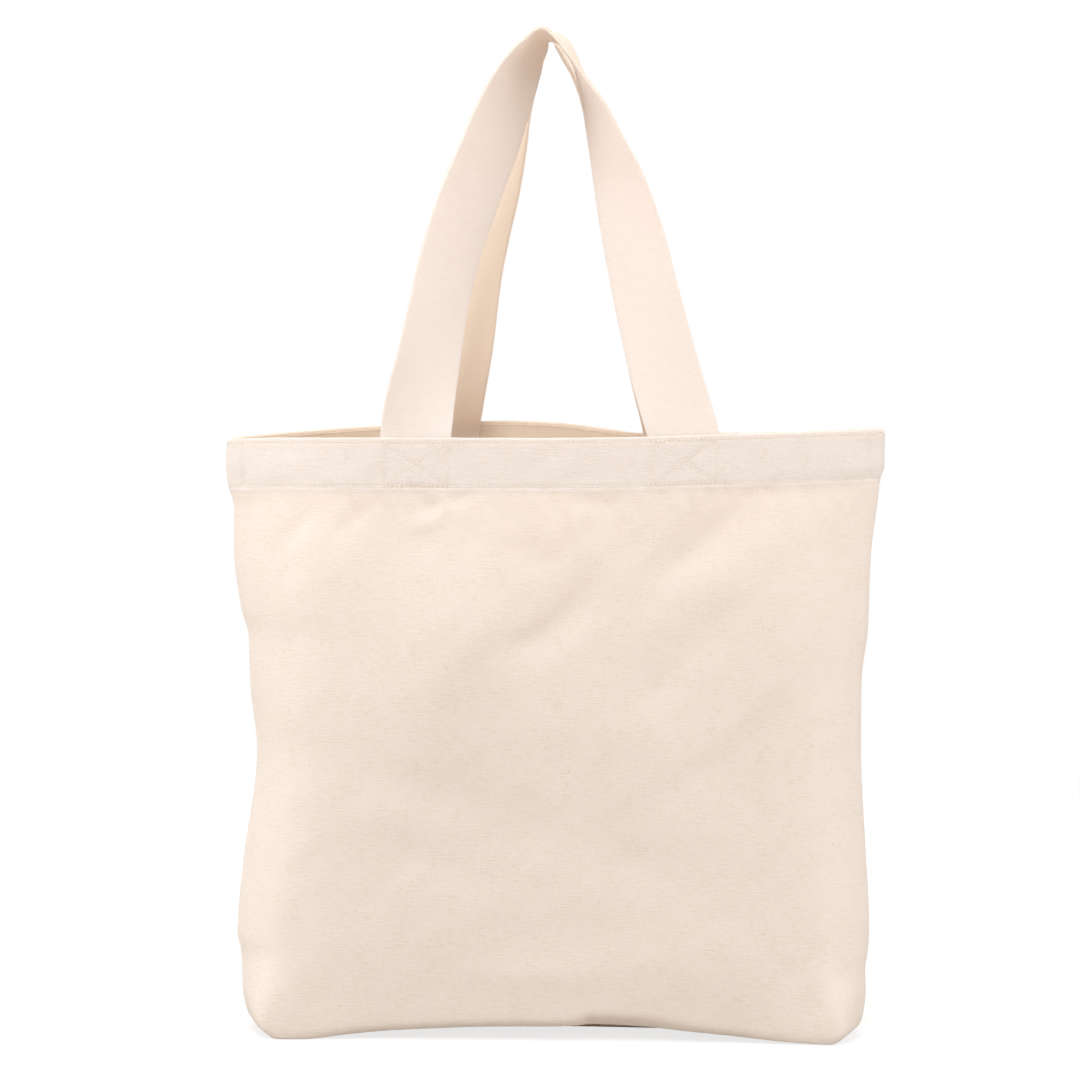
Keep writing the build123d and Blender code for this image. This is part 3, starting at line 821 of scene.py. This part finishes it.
def panel_points(front):
    """The points of the front panel, or of the back one as seen from behind."""
    sides = (LEFT_SIDE, RIGHT_SIDE) if front else (RIGHT_SIDE, LEFT_SIDE)
    rim_lift = FRONT_RIM_LIFT if front else lambda x: BACK_RIM_LIFT(-x)
    edge_lift = FRONT_EDGE_LIFT if front else lambda x: BACK_EDGE_LIFT(-x)
    points = np.zeros((len(ROWS), len(COLUMNS), 3))
    from_seam = (1 - abs(COLUMNS)) * panel_width / 2
    pull = SEAM_PULL * bell(from_seam, SEAM_PULL_WIDTH)
    corner_wide, corner_high = HEM_CORNER_SIZE
    for row, (height, inset, share) in enumerate(ROWS):
        left, right = float(sides[0](height)), float(sides[1](height))
        low = 1 - smooth_step(EDGE_ROUND, 3 * EDGE_ROUND, height)
        set_in = inset * (1 - low + low * EDGE_SHARE(COLUMNS)) + pull
        x, y, _ = outline(height, left, right, COLUMNS, set_in)
        boxed = smooth_step(*CORNER_ZONE, abs(x)) * smooth_step(*CORNER_FADE, from_seam)
        boxed *= smooth_step(CORNER_HEIGHT, 0, height)
        tucked = smooth_step(*TUCK_START, x) * smooth_step(*TUCK_END, x)
        tucked *= smooth_step(*TUCK_HEIGHT, height) * front
        dropped = bell(from_seam, corner_wide) * smooth_step(RIM - corner_high, RIM, height)
        points[row, :, 0] = x
        points[row, :, 1] = (y - CORNER_OUT * boxed + TUCK * tucked) * share
        points[row, :, 2] = height + rim_lift(x) * smooth_step(*RIM_LIFT_ZONE, height)
        points[row, :, 2] += edge_lift(x) * smooth_step(*EDGE_LIFT_ZONE, height) * (0.5 + 0.5 * share)
        points[row, :, 2] -= HEM_CORNER * dropped
    points[:, 0, 1] = points[:, -1, 1] = 0.0
    return points


def push_folds(points, front):
    """Push the folds and the sewing out along the cloth's normals."""
    x, z = points[..., 0], ROWS[:, :1] + 0 * points[..., 0]
    inset = ROWS[:, 1:2]
    wall = smooth_step(*WALL_FOOT, z) * smooth_step(*WALL_TOP, z)
    wall = wall * smooth_step(*WALL_SIDES, abs(x)) * (inset < PLY)
    push = np.zeros_like(x)
    for path, widths, height in FRONT_FOLDS if front else BACK_FOLDS:
        push += fold(x, z, path, widths, height)
    for swell in FRONT_SWELLINGS if front else BACK_SWELLINGS:
        push += swelling(x, z, *swell)
    seed = 2.0 if front else 9.0
    below_hem = z - HEM_FOOT
    push += WAVES[0] * unevenness(x, z, WAVES[1], seed)
    push += SMALL_WAVES[0] * unevenness(x, z, SMALL_WAVES[1], seed + 20)
    push += CRUMPLE[0] * unevenness((x + z) * 0.25, z - x, CRUMPLE[1], seed + 40)
    gathers = unevenness(x + below_hem * 0.6, z * 0.4, GATHERS[1], seed + 60)
    push += GATHERS[0] * bell(below_hem, GATHERS_REACH) * gathers
    push *= wall
    sewn = FRONT_SEWN if front else BACK_SEWN
    near_hem = (ROWS[:, 0] > HEM_FOOT - 4) & (ROWS[:, 1] <= HEM_STACK)
    faces_out = 1 - np.minimum(inset[near_hem], HEM_STACK) / HEM_STACK * 2
    relief = sewn_relief(x[near_hem], z[near_hem], sewn, seed)
    push[near_hem] += relief * np.clip(faces_out, -0.5, 1)
    pushed = points + cloth_normals(points) * push[..., None]
    pushed[..., 2] = np.maximum(pushed[..., 2], LOWEST)
    return pushed


def made_panel(front):
    """A panel's points, normals and place on the flat cut."""
    points = push_folds(panel_points(front), front)
    along = lengths_along(points[:, len(COLUMNS) // 2])
    if not front:
        points[..., :2] *= -1
    return {"points": points, "normals": cloth_normals(points), "along": along}


front_cloth = made_panel(True)
back_cloth = made_panel(False)
print("cut length", round(front_cloth["along"][-1], 1), "mm")

# %% Build a panel from a grid
MERGE_DISTANCE = 0.01


def points_of(piece):
    """The points of a mesh, in metres."""
    found = np.zeros((len(piece.data.vertices), 3), np.float32)
    piece.data.vertices.foreach_get("co", found.ravel())
    return found


def keep_place(piece, name, places):
    """Store each point's place on the flat cloth, in metres, for the material to read."""
    values = np.zeros((len(piece.data.vertices), 3), np.float32)
    values[:, :2] = places * MM
    piece.data.attributes.new(name, "FLOAT_VECTOR", "POINT").data.foreach_set("vector", values.ravel())


def keep_share(piece, name, shares):
    """Store one value from 0 to 1 for each point."""
    layer = piece.data.attributes.get(name) or piece.data.attributes.new(name, "FLOAT", "POINT")
    layer.data.foreach_set("value", np.asarray(shares, np.float32))


def mesh_piece(name, points, faces):
    """A new object from points in millimetres and the faces between them."""
    mesh = bpy.data.meshes.new(name)
    mesh.from_pydata((points.reshape(-1, 3) * MM).tolist(), [], faces)
    piece = bpy.data.objects.new(name, mesh)
    bpy.context.scene.collection.objects.link(piece)
    return piece


def finish_mesh(piece, material):
    """Select only this piece, shade it smooth and give it its material."""
    bpy.ops.object.select_all(action="DESELECT")
    piece.select_set(True)
    bpy.context.view_layer.objects.active = piece
    bpy.ops.object.shade_smooth()
    piece.data.materials.append(material)


def cloth_piece(name, points, places, hem, inside, plies):
    """A grid of canvas laid on the given points and thickened inwards.

    Hem and inside say, for each row, how far it belongs to either.
    """
    rows, columns = points.shape[:2]
    bpy.ops.object.select_all(action="DESELECT")
    bpy.ops.mesh.primitive_grid_add(x_subdivisions=columns - 1, y_subdivisions=rows - 1, size=1.0)
    piece = bpy.context.object
    piece.name = name
    flat = points_of(piece)
    column = np.rint((flat[:, 0] + 0.5) * (columns - 1)).astype(int)
    row = np.rint((flat[:, 1] + 0.5) * (rows - 1)).astype(int)
    piece.data.vertices.foreach_set("co", (points[row, column] * MM).astype(np.float32).ravel())
    keep_place(piece, "cloth", places[row, column])
    keep_share(piece, "hem", hem[row])
    keep_share(piece, "inside", inside[row])
    piece.data.update()
    bpy.ops.object.mode_set(mode="EDIT")
    bpy.ops.mesh.select_all(action="SELECT")
    bpy.ops.mesh.remove_doubles(threshold=MERGE_DISTANCE * MM)
    bpy.ops.object.mode_set(mode="OBJECT")
    solid = piece.modifiers.new("thickness", "SOLIDIFY")
    solid.thickness = plies * PLY * MM
    solid.offset = -1
    bpy.ops.object.modifier_apply(modifier=solid.name)
    made = points_of(piece)
    made[:, 2] = np.maximum(made[:, 2], LOWEST * MM)  # nothing sinks into the ground
    piece.data.vertices.foreach_set("co", made.ravel())
    # The inner face: the canvas paints a warm glow of light on it, and the webbing paints warm shade
    shares = np.zeros(len(piece.data.vertices), np.float32)
    piece.data.attributes["inside"].data.foreach_get("value", shares)
    shares[len(shares) // 2:] = 1.0  # Solidify puts the points of the new inner face last
    keep_share(piece, "inside", shares)
    finish_mesh(piece, canvas)
    return piece


def panel_piece(name, cloth):
    """A whole panel with its hem."""
    places = np.stack(np.meshgrid(COLUMNS * panel_width / 2, cloth["along"]), -1)
    hem = smooth_step(HEM_FOOT - 1, HEM_FOOT + 1, ROWS[:, 0])
    inside = np.arange(len(ROWS)) > RIM_ROW
    return cloth_piece(name, cloth["points"], places, hem, inside, 1)


front_panel = panel_piece("front_canvas_panel", front_cloth)
back_panel = panel_piece("back_canvas_panel", back_cloth)
print([(o.name, len(o.data.polygons)) for o in (front_panel, back_panel)])

# %% [markdown]
# ## Handles
# Each handle is one strap of webbing, sewn at both ends. It leaves the rim square to the front,
# turns edge-on as it rises, and bends over at the top where the two handles meet. The route is a
# short list of places chosen on the photograph: x, height and turn in degrees. The strap
# leans in from the rim to the meeting place in between.

# %% Routes of the two handles
STRAP_WIDTH = 40.6
STRAP_THICKNESS = 2.0
SEWN_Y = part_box("front_handle_left_end")[0].y / MM + STRAP_THICKNESS / 2
MEETING_Y = -20.9
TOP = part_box("front_handle_loop")[1].z / MM - STRAP_THICKNESS / 2
STRAP_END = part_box("front_handle_left_end")[0].z / MM
LEAN_START = RIM + 2

FRONT_ROUTE = [
    (-78.4, STRAP_END, 0), (-78.4, 337, 0), (-78.2, RIM, 2), (-76.3, 367, 14), (-70.8, 396, 31),
    (-65.2, 426, 38), (-60.8, 447, 38), (-49.3, 483.5, 36), (-36.6, 516, 40), (-26.2, 543.5, 49),
    (-18.6, 560, 59), (-11.7, 571.8, 71), (-4.4, 580, 81), (1.0, 577.6, 87), (5.6, 572.2, 88),
    (10.4, 565.6, 87), (17.2, 551, 79), (22.8, 538.5, 69.5), (30.8, 515.5, 56), (38.4, 492.5, 40),
    (44.5, 469.5, 29), (55.3, 424, 17), (67, 379, 4), (71.6, 364, 0), (75.2, RIM, 0), (75.4, 337, 0),
    (75.4, STRAP_END, 0)]
BACK_ROUTE = [
    (-68, STRAP_END, 0), (-68, 337, 0), (-67.8, RIM, 2), (-64.5, 367, 12), (-56.5, 401, 27),
    (-48.5, 447, 36), (-43.5, 470, 37), (-37.7, 492.5, 39), (-32, 515.5, 46), (-26.5, 538, 55),
    (-18, 560, 66), (-11.5, 573.5, 78), (-5.6, 581.6, 86), (-1.2, 579.6, 84), (2.6, 575.2, 81),
    (6.4, 568.6, 81), (9.9, 561.5, 83), (14.4, 551.5, 82), (20.4, 538.5, 75), (29, 515.5, 62),
    (36, 492.5, 50), (41.5, 469.5, 40), (52, 424, 27), (62.5, 379, 10), (66.4, 364, 4), (69, RIM, 0),
    (69, 337, 0), (69, STRAP_END, 0)]
print(len(FRONT_ROUTE), "and", len(BACK_ROUTE), "places on the routes; sewn at y", round(SEWN_Y, 2))

# %% Webbing along a route
RIB_STEPS = 4
RIB_RELIEF = 0.02
SELVEDGE = 0.9
SELVEDGE_TURNS = (60, 20, -20, -60)
FACE_POINTS = 15
FINE_STEPS = 6000


def strap_section():
    """Round the webbing once: (across, through) in millimetres, with rounded selvedges."""
    half, thick = STRAP_WIDTH / 2, STRAP_THICKNESS / 2
    face = np.linspace(-(half - SELVEDGE), half - SELVEDGE, FACE_POINTS)
    turn = np.radians(SELVEDGE_TURNS)
    edge_across, edge_through = half - SELVEDGE + SELVEDGE * np.cos(turn), thick * np.sin(turn)
    across = np.concatenate([face, edge_across, face[::-1], -edge_across])
    through = np.concatenate([np.full(FACE_POINTS, thick), edge_through,
                              np.full(FACE_POINTS, -thick), -edge_through])
    return across, through


def strap_frames(route, side):
    """Points along a route, their across and outward directions and how far along they lie.

    Side is -1 for the front handle and 1 for the back one.
    """
    route = np.array(route, float)
    lean = np.clip((route[:, 1] - LEAN_START) / (TOP - LEAN_START), 0, 1)
    depth = SEWN_Y + (MEETING_Y - SEWN_Y) * lean
    known = np.column_stack([route[:, 0], -side * depth, route[:, 1], route[:, 2]])
    place = lengths_along(known[:, :3])
    fine = np.linspace(0, place[-1], FINE_STEPS)
    curves = [curve_through(np.column_stack([place, values]), overshoot=True) for values in known.T]
    line = np.column_stack([curve(fine) for curve in curves])
    length = lengths_along(line[:, :3])
    steps = np.arange(0, length[-1], RIB_SPACING / MM / RIB_STEPS)
    line = np.column_stack([np.interp(steps, length, values) for values in line.T])
    tangent = unit(np.gradient(line[:, :3], axis=0))
    turn = np.radians(line[:, 3])[:, None]
    flat_across = np.column_stack([tangent[:, 2], np.zeros(len(line)), -tangent[:, 0]])
    across = flat_across * np.cos(turn) + np.array([0, -side, 0]) * np.sin(turn)
    across = unit(across - tangent * np.sum(across * tangent, axis=1, keepdims=True))
    return line[:, :3], across, np.cross(tangent, across), steps


def strap_piece(name, route, side):
    """One strap of ribbed webbing as a closed mesh."""
    middle, across, out, steps = strap_frames(route, side)
    ring_across, ring_through = strap_section()
    rib = 1 + RIB_RELIEF * np.cos(2 * math.pi * np.arange(len(steps)) / RIB_STEPS)
    through = ring_through[None] * rib[:, None]
    points = middle[:, None] + across[:, None] * ring_across[None, :, None]
    points += out[:, None] * through[..., None]
    count, ring = points.shape[:2]
    index = np.arange(count * ring).reshape(count, ring)
    beside = np.roll(index, -1, 1)
    quads = np.stack([index[:-1], beside[:-1], beside[1:], index[1:]], -1)
    ends = [index[0, ::-1].tolist(), index[-1].tolist()]
    piece = mesh_piece(name, points, quads.reshape(-1, 4).tolist() + ends)
    places = np.stack(np.meshgrid(ring_across, steps), -1)
    keep_place(piece, "webbing", places.reshape(-1, 2))
    # The inner face, which the webbing material paints with warm shade
    keep_share(piece, "inside", np.tile(ring_through * side < 0, count))
    finish_mesh(piece, webbing)
    bpy.ops.object.mode_set(mode="EDIT")
    bpy.ops.mesh.select_all(action="SELECT")
    bpy.ops.mesh.normals_make_consistent(inside=False)
    bpy.ops.object.mode_set(mode="OBJECT")
    return piece, float(steps[-1])


front_handle, front_length = strap_piece("front_webbing_handle", FRONT_ROUTE, -1)
back_handle, back_length = strap_piece("back_webbing_handle", BACK_ROUTE, 1)
print("straps", round(front_length), "and", round(back_length), "mm long")

# %% [markdown]
# ## Stitches
# Lockstitch is a row of short grains of thread with a needle hole between them, on both faces of
# the cloth. One grain is modelled from a small sphere, drawn out to the length of a stitch. It is
# then set down again and again along each sewing line, turned to follow the cloth.

# %% One stitch
STITCH_LENGTH = 2.4
STITCH_PITCH = 2.6
THREAD_WIDTH = 0.55
THREAD_HEIGHT = 0.42
LOOK_AHEAD = 0.3  # how far before and after its middle a stitch looks to find its direction

bpy.ops.object.select_all(action="DESELECT")
bpy.ops.mesh.primitive_uv_sphere_add(segments=6, ring_count=6, radius=0.5)
grain = bpy.context.object
grain.name = "one_stitch"
bpy.ops.object.mode_set(mode="EDIT")
bpy.ops.mesh.select_all(action="SELECT")
bpy.ops.transform.rotate(value=math.pi / 2, orient_axis="Y", center_override=(0, 0, 0))
bpy.ops.object.mode_set(mode="OBJECT")
STITCH_POINTS = np.array([v.co for v in grain.data.vertices])
STITCH_FACES = [list(p.vertices) for p in grain.data.polygons]
bpy.data.objects.remove(grain)
print(len(STITCH_FACES), "faces in one stitch")

# %% Sewing along lines on the cloth
def on_cloth(cloth, across, along, lift):
    """Points and directions on a finished panel, lifted off its right side."""
    column = np.interp(across, COLUMNS, np.arange(len(COLUMNS)))
    row = np.interp(along, cloth["along"], np.arange(len(ROWS)))
    c0 = np.minimum(column.astype(int), len(COLUMNS) - 2)
    r0 = np.minimum(row.astype(int), len(ROWS) - 2)
    c, r = (column - c0)[:, None], (row - r0)[:, None]

    def mixed(grid):
        low = grid[r0, c0] * (1 - c) + grid[r0, c0 + 1] * c
        high = grid[r0 + 1, c0] * (1 - c) + grid[r0 + 1, c0 + 1] * c
        return low * (1 - r) + high * r

    normals = unit(mixed(cloth["normals"]))
    return mixed(cloth["points"]) + normals * lift, normals


FOOT_ROW = BASE_ROWS + EDGE_ROWS + 2  # a little way up the wall
FOLD_ROW = RIM_ROW + int(np.argmin(ROWS[RIM_ROW:-3, 0]))


def along_outside(cloth, height):
    """Distance along the cut at a height on the outside of the hem."""
    rows = slice(FOOT_ROW, RIM_ROW + 1)
    return np.interp(height, ROWS[rows, 0], cloth["along"][rows])


def along_inside(cloth, height):
    """Distance along the cut at a height on the inside of the hem."""
    rows = slice(RIM_ROW, FOLD_ROW + 1)
    return np.interp(-np.asarray(height), -ROWS[rows, 0], cloth["along"][rows])


def stitches_along(points, normals, length=STITCH_LENGTH, pitch=STITCH_PITCH, slant=0.0):
    """Set stitches down along a line of points, each turned by the slant, and give their points."""
    gone = lengths_along(points)
    count = max(1, int(gone[-1] // pitch))
    middles = (np.arange(count) + 0.5) * gone[-1] / count

    def at(grid, places):
        return np.column_stack([np.interp(places, gone, values) for values in grid.T])

    here = at(points, middles)
    tangent = unit(at(points, middles + LOOK_AHEAD) - at(points, middles - LOOK_AHEAD))
    beside = unit(np.cross(at(normals, middles), tangent))
    out = np.cross(tangent, beside)
    tangent, beside = (tangent * math.cos(slant) + beside * math.sin(slant),
                       beside * math.cos(slant) - tangent * math.sin(slant))
    grain_points = STITCH_POINTS * (length, THREAD_WIDTH, THREAD_HEIGHT)
    return (here[:, None] + grain_points[None, :, :1] * tangent[:, None]
            + grain_points[None, :, 1:2] * beside[:, None] + grain_points[None, :, 2:] * out[:, None])


def thread_piece(name, groups):
    """One mesh from many stitches."""
    stitches = np.concatenate(groups)
    size = len(STITCH_POINTS)
    faces = [[start * size + corner for corner in face]
             for start in range(len(stitches)) for face in STITCH_FACES]
    piece = mesh_piece(name, stitches, faces)
    keep_place(piece, "stitch", np.tile(STITCH_POINTS[:, :2] * STITCH_LENGTH, (len(stitches), 1)))
    finish_mesh(piece, thread)
    return piece


hem_start = float(along_outside(front_cloth, HEM_FOOT))
print("outside of the hem starts", round(hem_start, 1), "mm along the cut")

# %% Hem rows and boxed crosses
SEAM_MARGIN = 0.004  # share of half the panel's width that a row stops short of the seam
STITCH_LIFT = 0.08
STRAP_STITCH_LIFT = 0.05
ROW_STEPS = 700
BOX_STEPS = 120


def hem_row(cloth, height):
    """Stitches along one hem row, outside and inside."""
    across = np.linspace(-1 + SEAM_MARGIN, 1 - SEAM_MARGIN, ROW_STEPS)
    found = []
    for along in (along_outside(cloth, height), along_inside(cloth, height)):
        points, normals = on_cloth(cloth, across, np.full(len(across), along), STITCH_LIFT)
        found.append(stitches_along(points, normals))
    return found


def across_at(cloth, x, turned):
    """The place across the cut that lies at x on the hem."""
    row = int(np.argmin(abs(ROWS[:RIM_ROW, 0] - (RIM - HEM / 2))))
    return np.interp(x, cloth["points"][row, :, 0] * turned, COLUMNS)


def boxed_cross(cloth, middle, turned):
    """Stitches of one box with its cross, on the hem outside and on the strap inside."""
    found = []
    for (x0, z0), (x1, z1) in box_lines(middle):
        t = np.linspace(0, 1, BOX_STEPS)
        across = across_at(cloth, x0 + (x1 - x0) * t, turned)
        heights = z0 + (z1 - z0) * t
        points, normals = on_cloth(cloth, across, along_outside(cloth, heights), STITCH_LIFT)
        found.append(stitches_along(points, normals))
        inside, inner_normals = on_cloth(cloth, across, along_inside(cloth, heights), 0.0)
        inside[:, 1] = turned * (SEWN_Y + STRAP_THICKNESS / 2 + STRAP_STITCH_LIFT)
        inner_normals[:] = (0, turned, 0)
        found.append(stitches_along(inside, inner_normals))
    return found


stitching = {}
for side, cloth, sewn, names, turned in (
    ("front", front_cloth, FRONT_SEWN, ("left", "right"), 1),
    ("back", back_cloth, BACK_SEWN, ("right", "left"), -1),
):
    for row, height in (("lower", LOWER_ROW), ("upper", UPPER_ROW)):
        made = thread_piece(f"{side}_hem_{row}_stitches", hem_row(cloth, height))
        stitching[f"{side}_hem_{row}_stitching"] = made
    for end, middle in zip(names, sewn):
        made = thread_piece(f"{side}_{end}_box_stitches", boxed_cross(cloth, middle, turned))
        stitching[f"{side}_{end}_box_stitching"] = made
print(sum(len(piece.data.polygons) for piece in stitching.values()), "faces of thread")

# %% [markdown]
# ## Seams inside
# Inside the bag the two panels' edges are sewn together and overlocked: the side seams are pressed
# to the back, the bottom seam lies along the base, and a short seam crosses each lower corner
# where the base was boxed. Each is a double strip of the same canvas, laid on the inside of the
# finished panel, with slanted overlock stitches along its free edge.

# %% Seam strips and their overlock stitches
SEAM_PLIES = 2
SEAM_WIDTH = 9.0
SEAM_START = 1.6
SEAM_GAP = PLY + 0.2  # from the panel's outer face to the strip
OVERLOCK_PITCH = 2.4
OVERLOCK_LENGTH = 4.6
OVERLOCK_SLANT = math.radians(65)
SIDE_SEAM_FOOT = 14.0
BOTTOM_SEAM_START = 0.6
BOTTOM_SEAM_END = 0.86  # as a share of half the panel's width, like the corner seams' places
CORNER_SEAM = (0.89, 0.935)
CORNER_SEAM_START = 0.3
CORNER_LENGTH = 22.0
STRIP_STEPS = 6  # across a strip; the next three are along it
SIDE_STEPS = 90
BOTTOM_STEPS = 120
CORNER_STEPS = 12


def strip_on(cloth, across, along):
    """A grid of points on the inside of a panel."""
    across, along = np.broadcast_arrays(across, along)
    points, normals = on_cloth(cloth, across.ravel(), along.ravel(), -SEAM_GAP)
    return points.reshape(*across.shape, 3), normals.reshape(*across.shape, 3)


def seam_piece(name, points):
    """Two plies of canvas on a grid of points, all of it inside the bag."""
    rows, columns = points.shape[:2]
    length, width = lengths_along(points[:, 0])[-1], lengths_along(points[0])[-1]
    places = np.stack(np.meshgrid(np.linspace(0, width, columns), np.linspace(0, length, rows)), -1)
    return cloth_piece(name, points, places, np.zeros(rows), np.ones(rows), SEAM_PLIES)


def overlock(points, normals):
    """Slanted stitches along one edge of a strip, on its inner side."""
    inner = points - normals * (SEAM_PLIES * PLY + STITCH_LIFT)
    return stitches_along(inner, -normals, OVERLOCK_LENGTH, OVERLOCK_PITCH, OVERLOCK_SLANT)


seams, overlocked = {}, []
wall = np.interp([SIDE_SEAM_FOOT, HEM_FOOT - 1], ROWS[:RIM_ROW, 0], back_cloth["along"][:RIM_ROW])
along = np.linspace(*wall, SIDE_STEPS)[:, None]
from_seam = 1 - np.linspace(SEAM_START, SEAM_START + SEAM_WIDTH, STRIP_STEPS)[None] / (panel_width / 2)
for end, across in (("right", -from_seam), ("left", from_seam[:, ::-1])):
    points, normals = strip_on(back_cloth, across, along)
    seams[f"{end}_side_seam"] = seam_piece(f"{end}_side_seam_allowance", points)
    column = -2 if end == "right" else 1
    overlocked.append(overlock(points[:, column], normals[:, column]))

along = np.linspace(BOTTOM_SEAM_START, BOTTOM_SEAM_START + SEAM_WIDTH, STRIP_STEPS)[:, None]
across = np.linspace(-BOTTOM_SEAM_END, BOTTOM_SEAM_END, BOTTOM_STEPS)[None]
points, normals = strip_on(back_cloth, across, along)
seams["bottom_seam"] = seam_piece("bottom_seam_allowance", points)
overlocked.append(overlock(points[-2], normals[-2]))

along = np.linspace(CORNER_SEAM_START, CORNER_LENGTH, CORNER_STEPS)[:, None]
right_corner = np.linspace(*CORNER_SEAM, STRIP_STEPS)[None]
for end, across in (("right", right_corner), ("left", -right_corner[:, ::-1])):
    front_half, front_out = strip_on(front_cloth, across, along)
    back_half, back_out = strip_on(back_cloth, -across, along)
    points = np.concatenate([back_half[::-1], front_half])
    normals = np.concatenate([back_out[::-1], front_out])
    seams[f"{end}_corner_seam"] = seam_piece(f"{end}_corner_seam_allowance", points)
    column = 1 if end == "right" else -2
    overlocked.append(overlock(points[:, column], normals[:, column]))
overlock_thread = thread_piece("overlock_thread", overlocked)
print({name: piece.dimensions[:] for name, piece in seams.items()})

# %% [markdown]
# ## Most pieces ride on the bag
# The handles bend where they leave the rim, but here they are only set in place and ride on no
# body. Everything else rides on the bag. Each piece that stands for plain CAD solids hides them.

for side, panel, handle, length in (
    ("front", front_panel, front_handle, front_length),
    ("back", back_panel, back_handle, back_length),
):
    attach(panel, "bag")
    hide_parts(f"{side}_panel")
    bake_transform(handle)
    ends = (f"{side}_handle_left_end", f"{side}_handle_right_end")
    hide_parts(f"{side}_handle_loop", *ends)
for node, piece in stitching.items():
    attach(piece, "bag")
    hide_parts(node)
for node, piece in seams.items():
    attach(piece, "bag")
    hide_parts(node)
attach(overlock_thread, "bag")
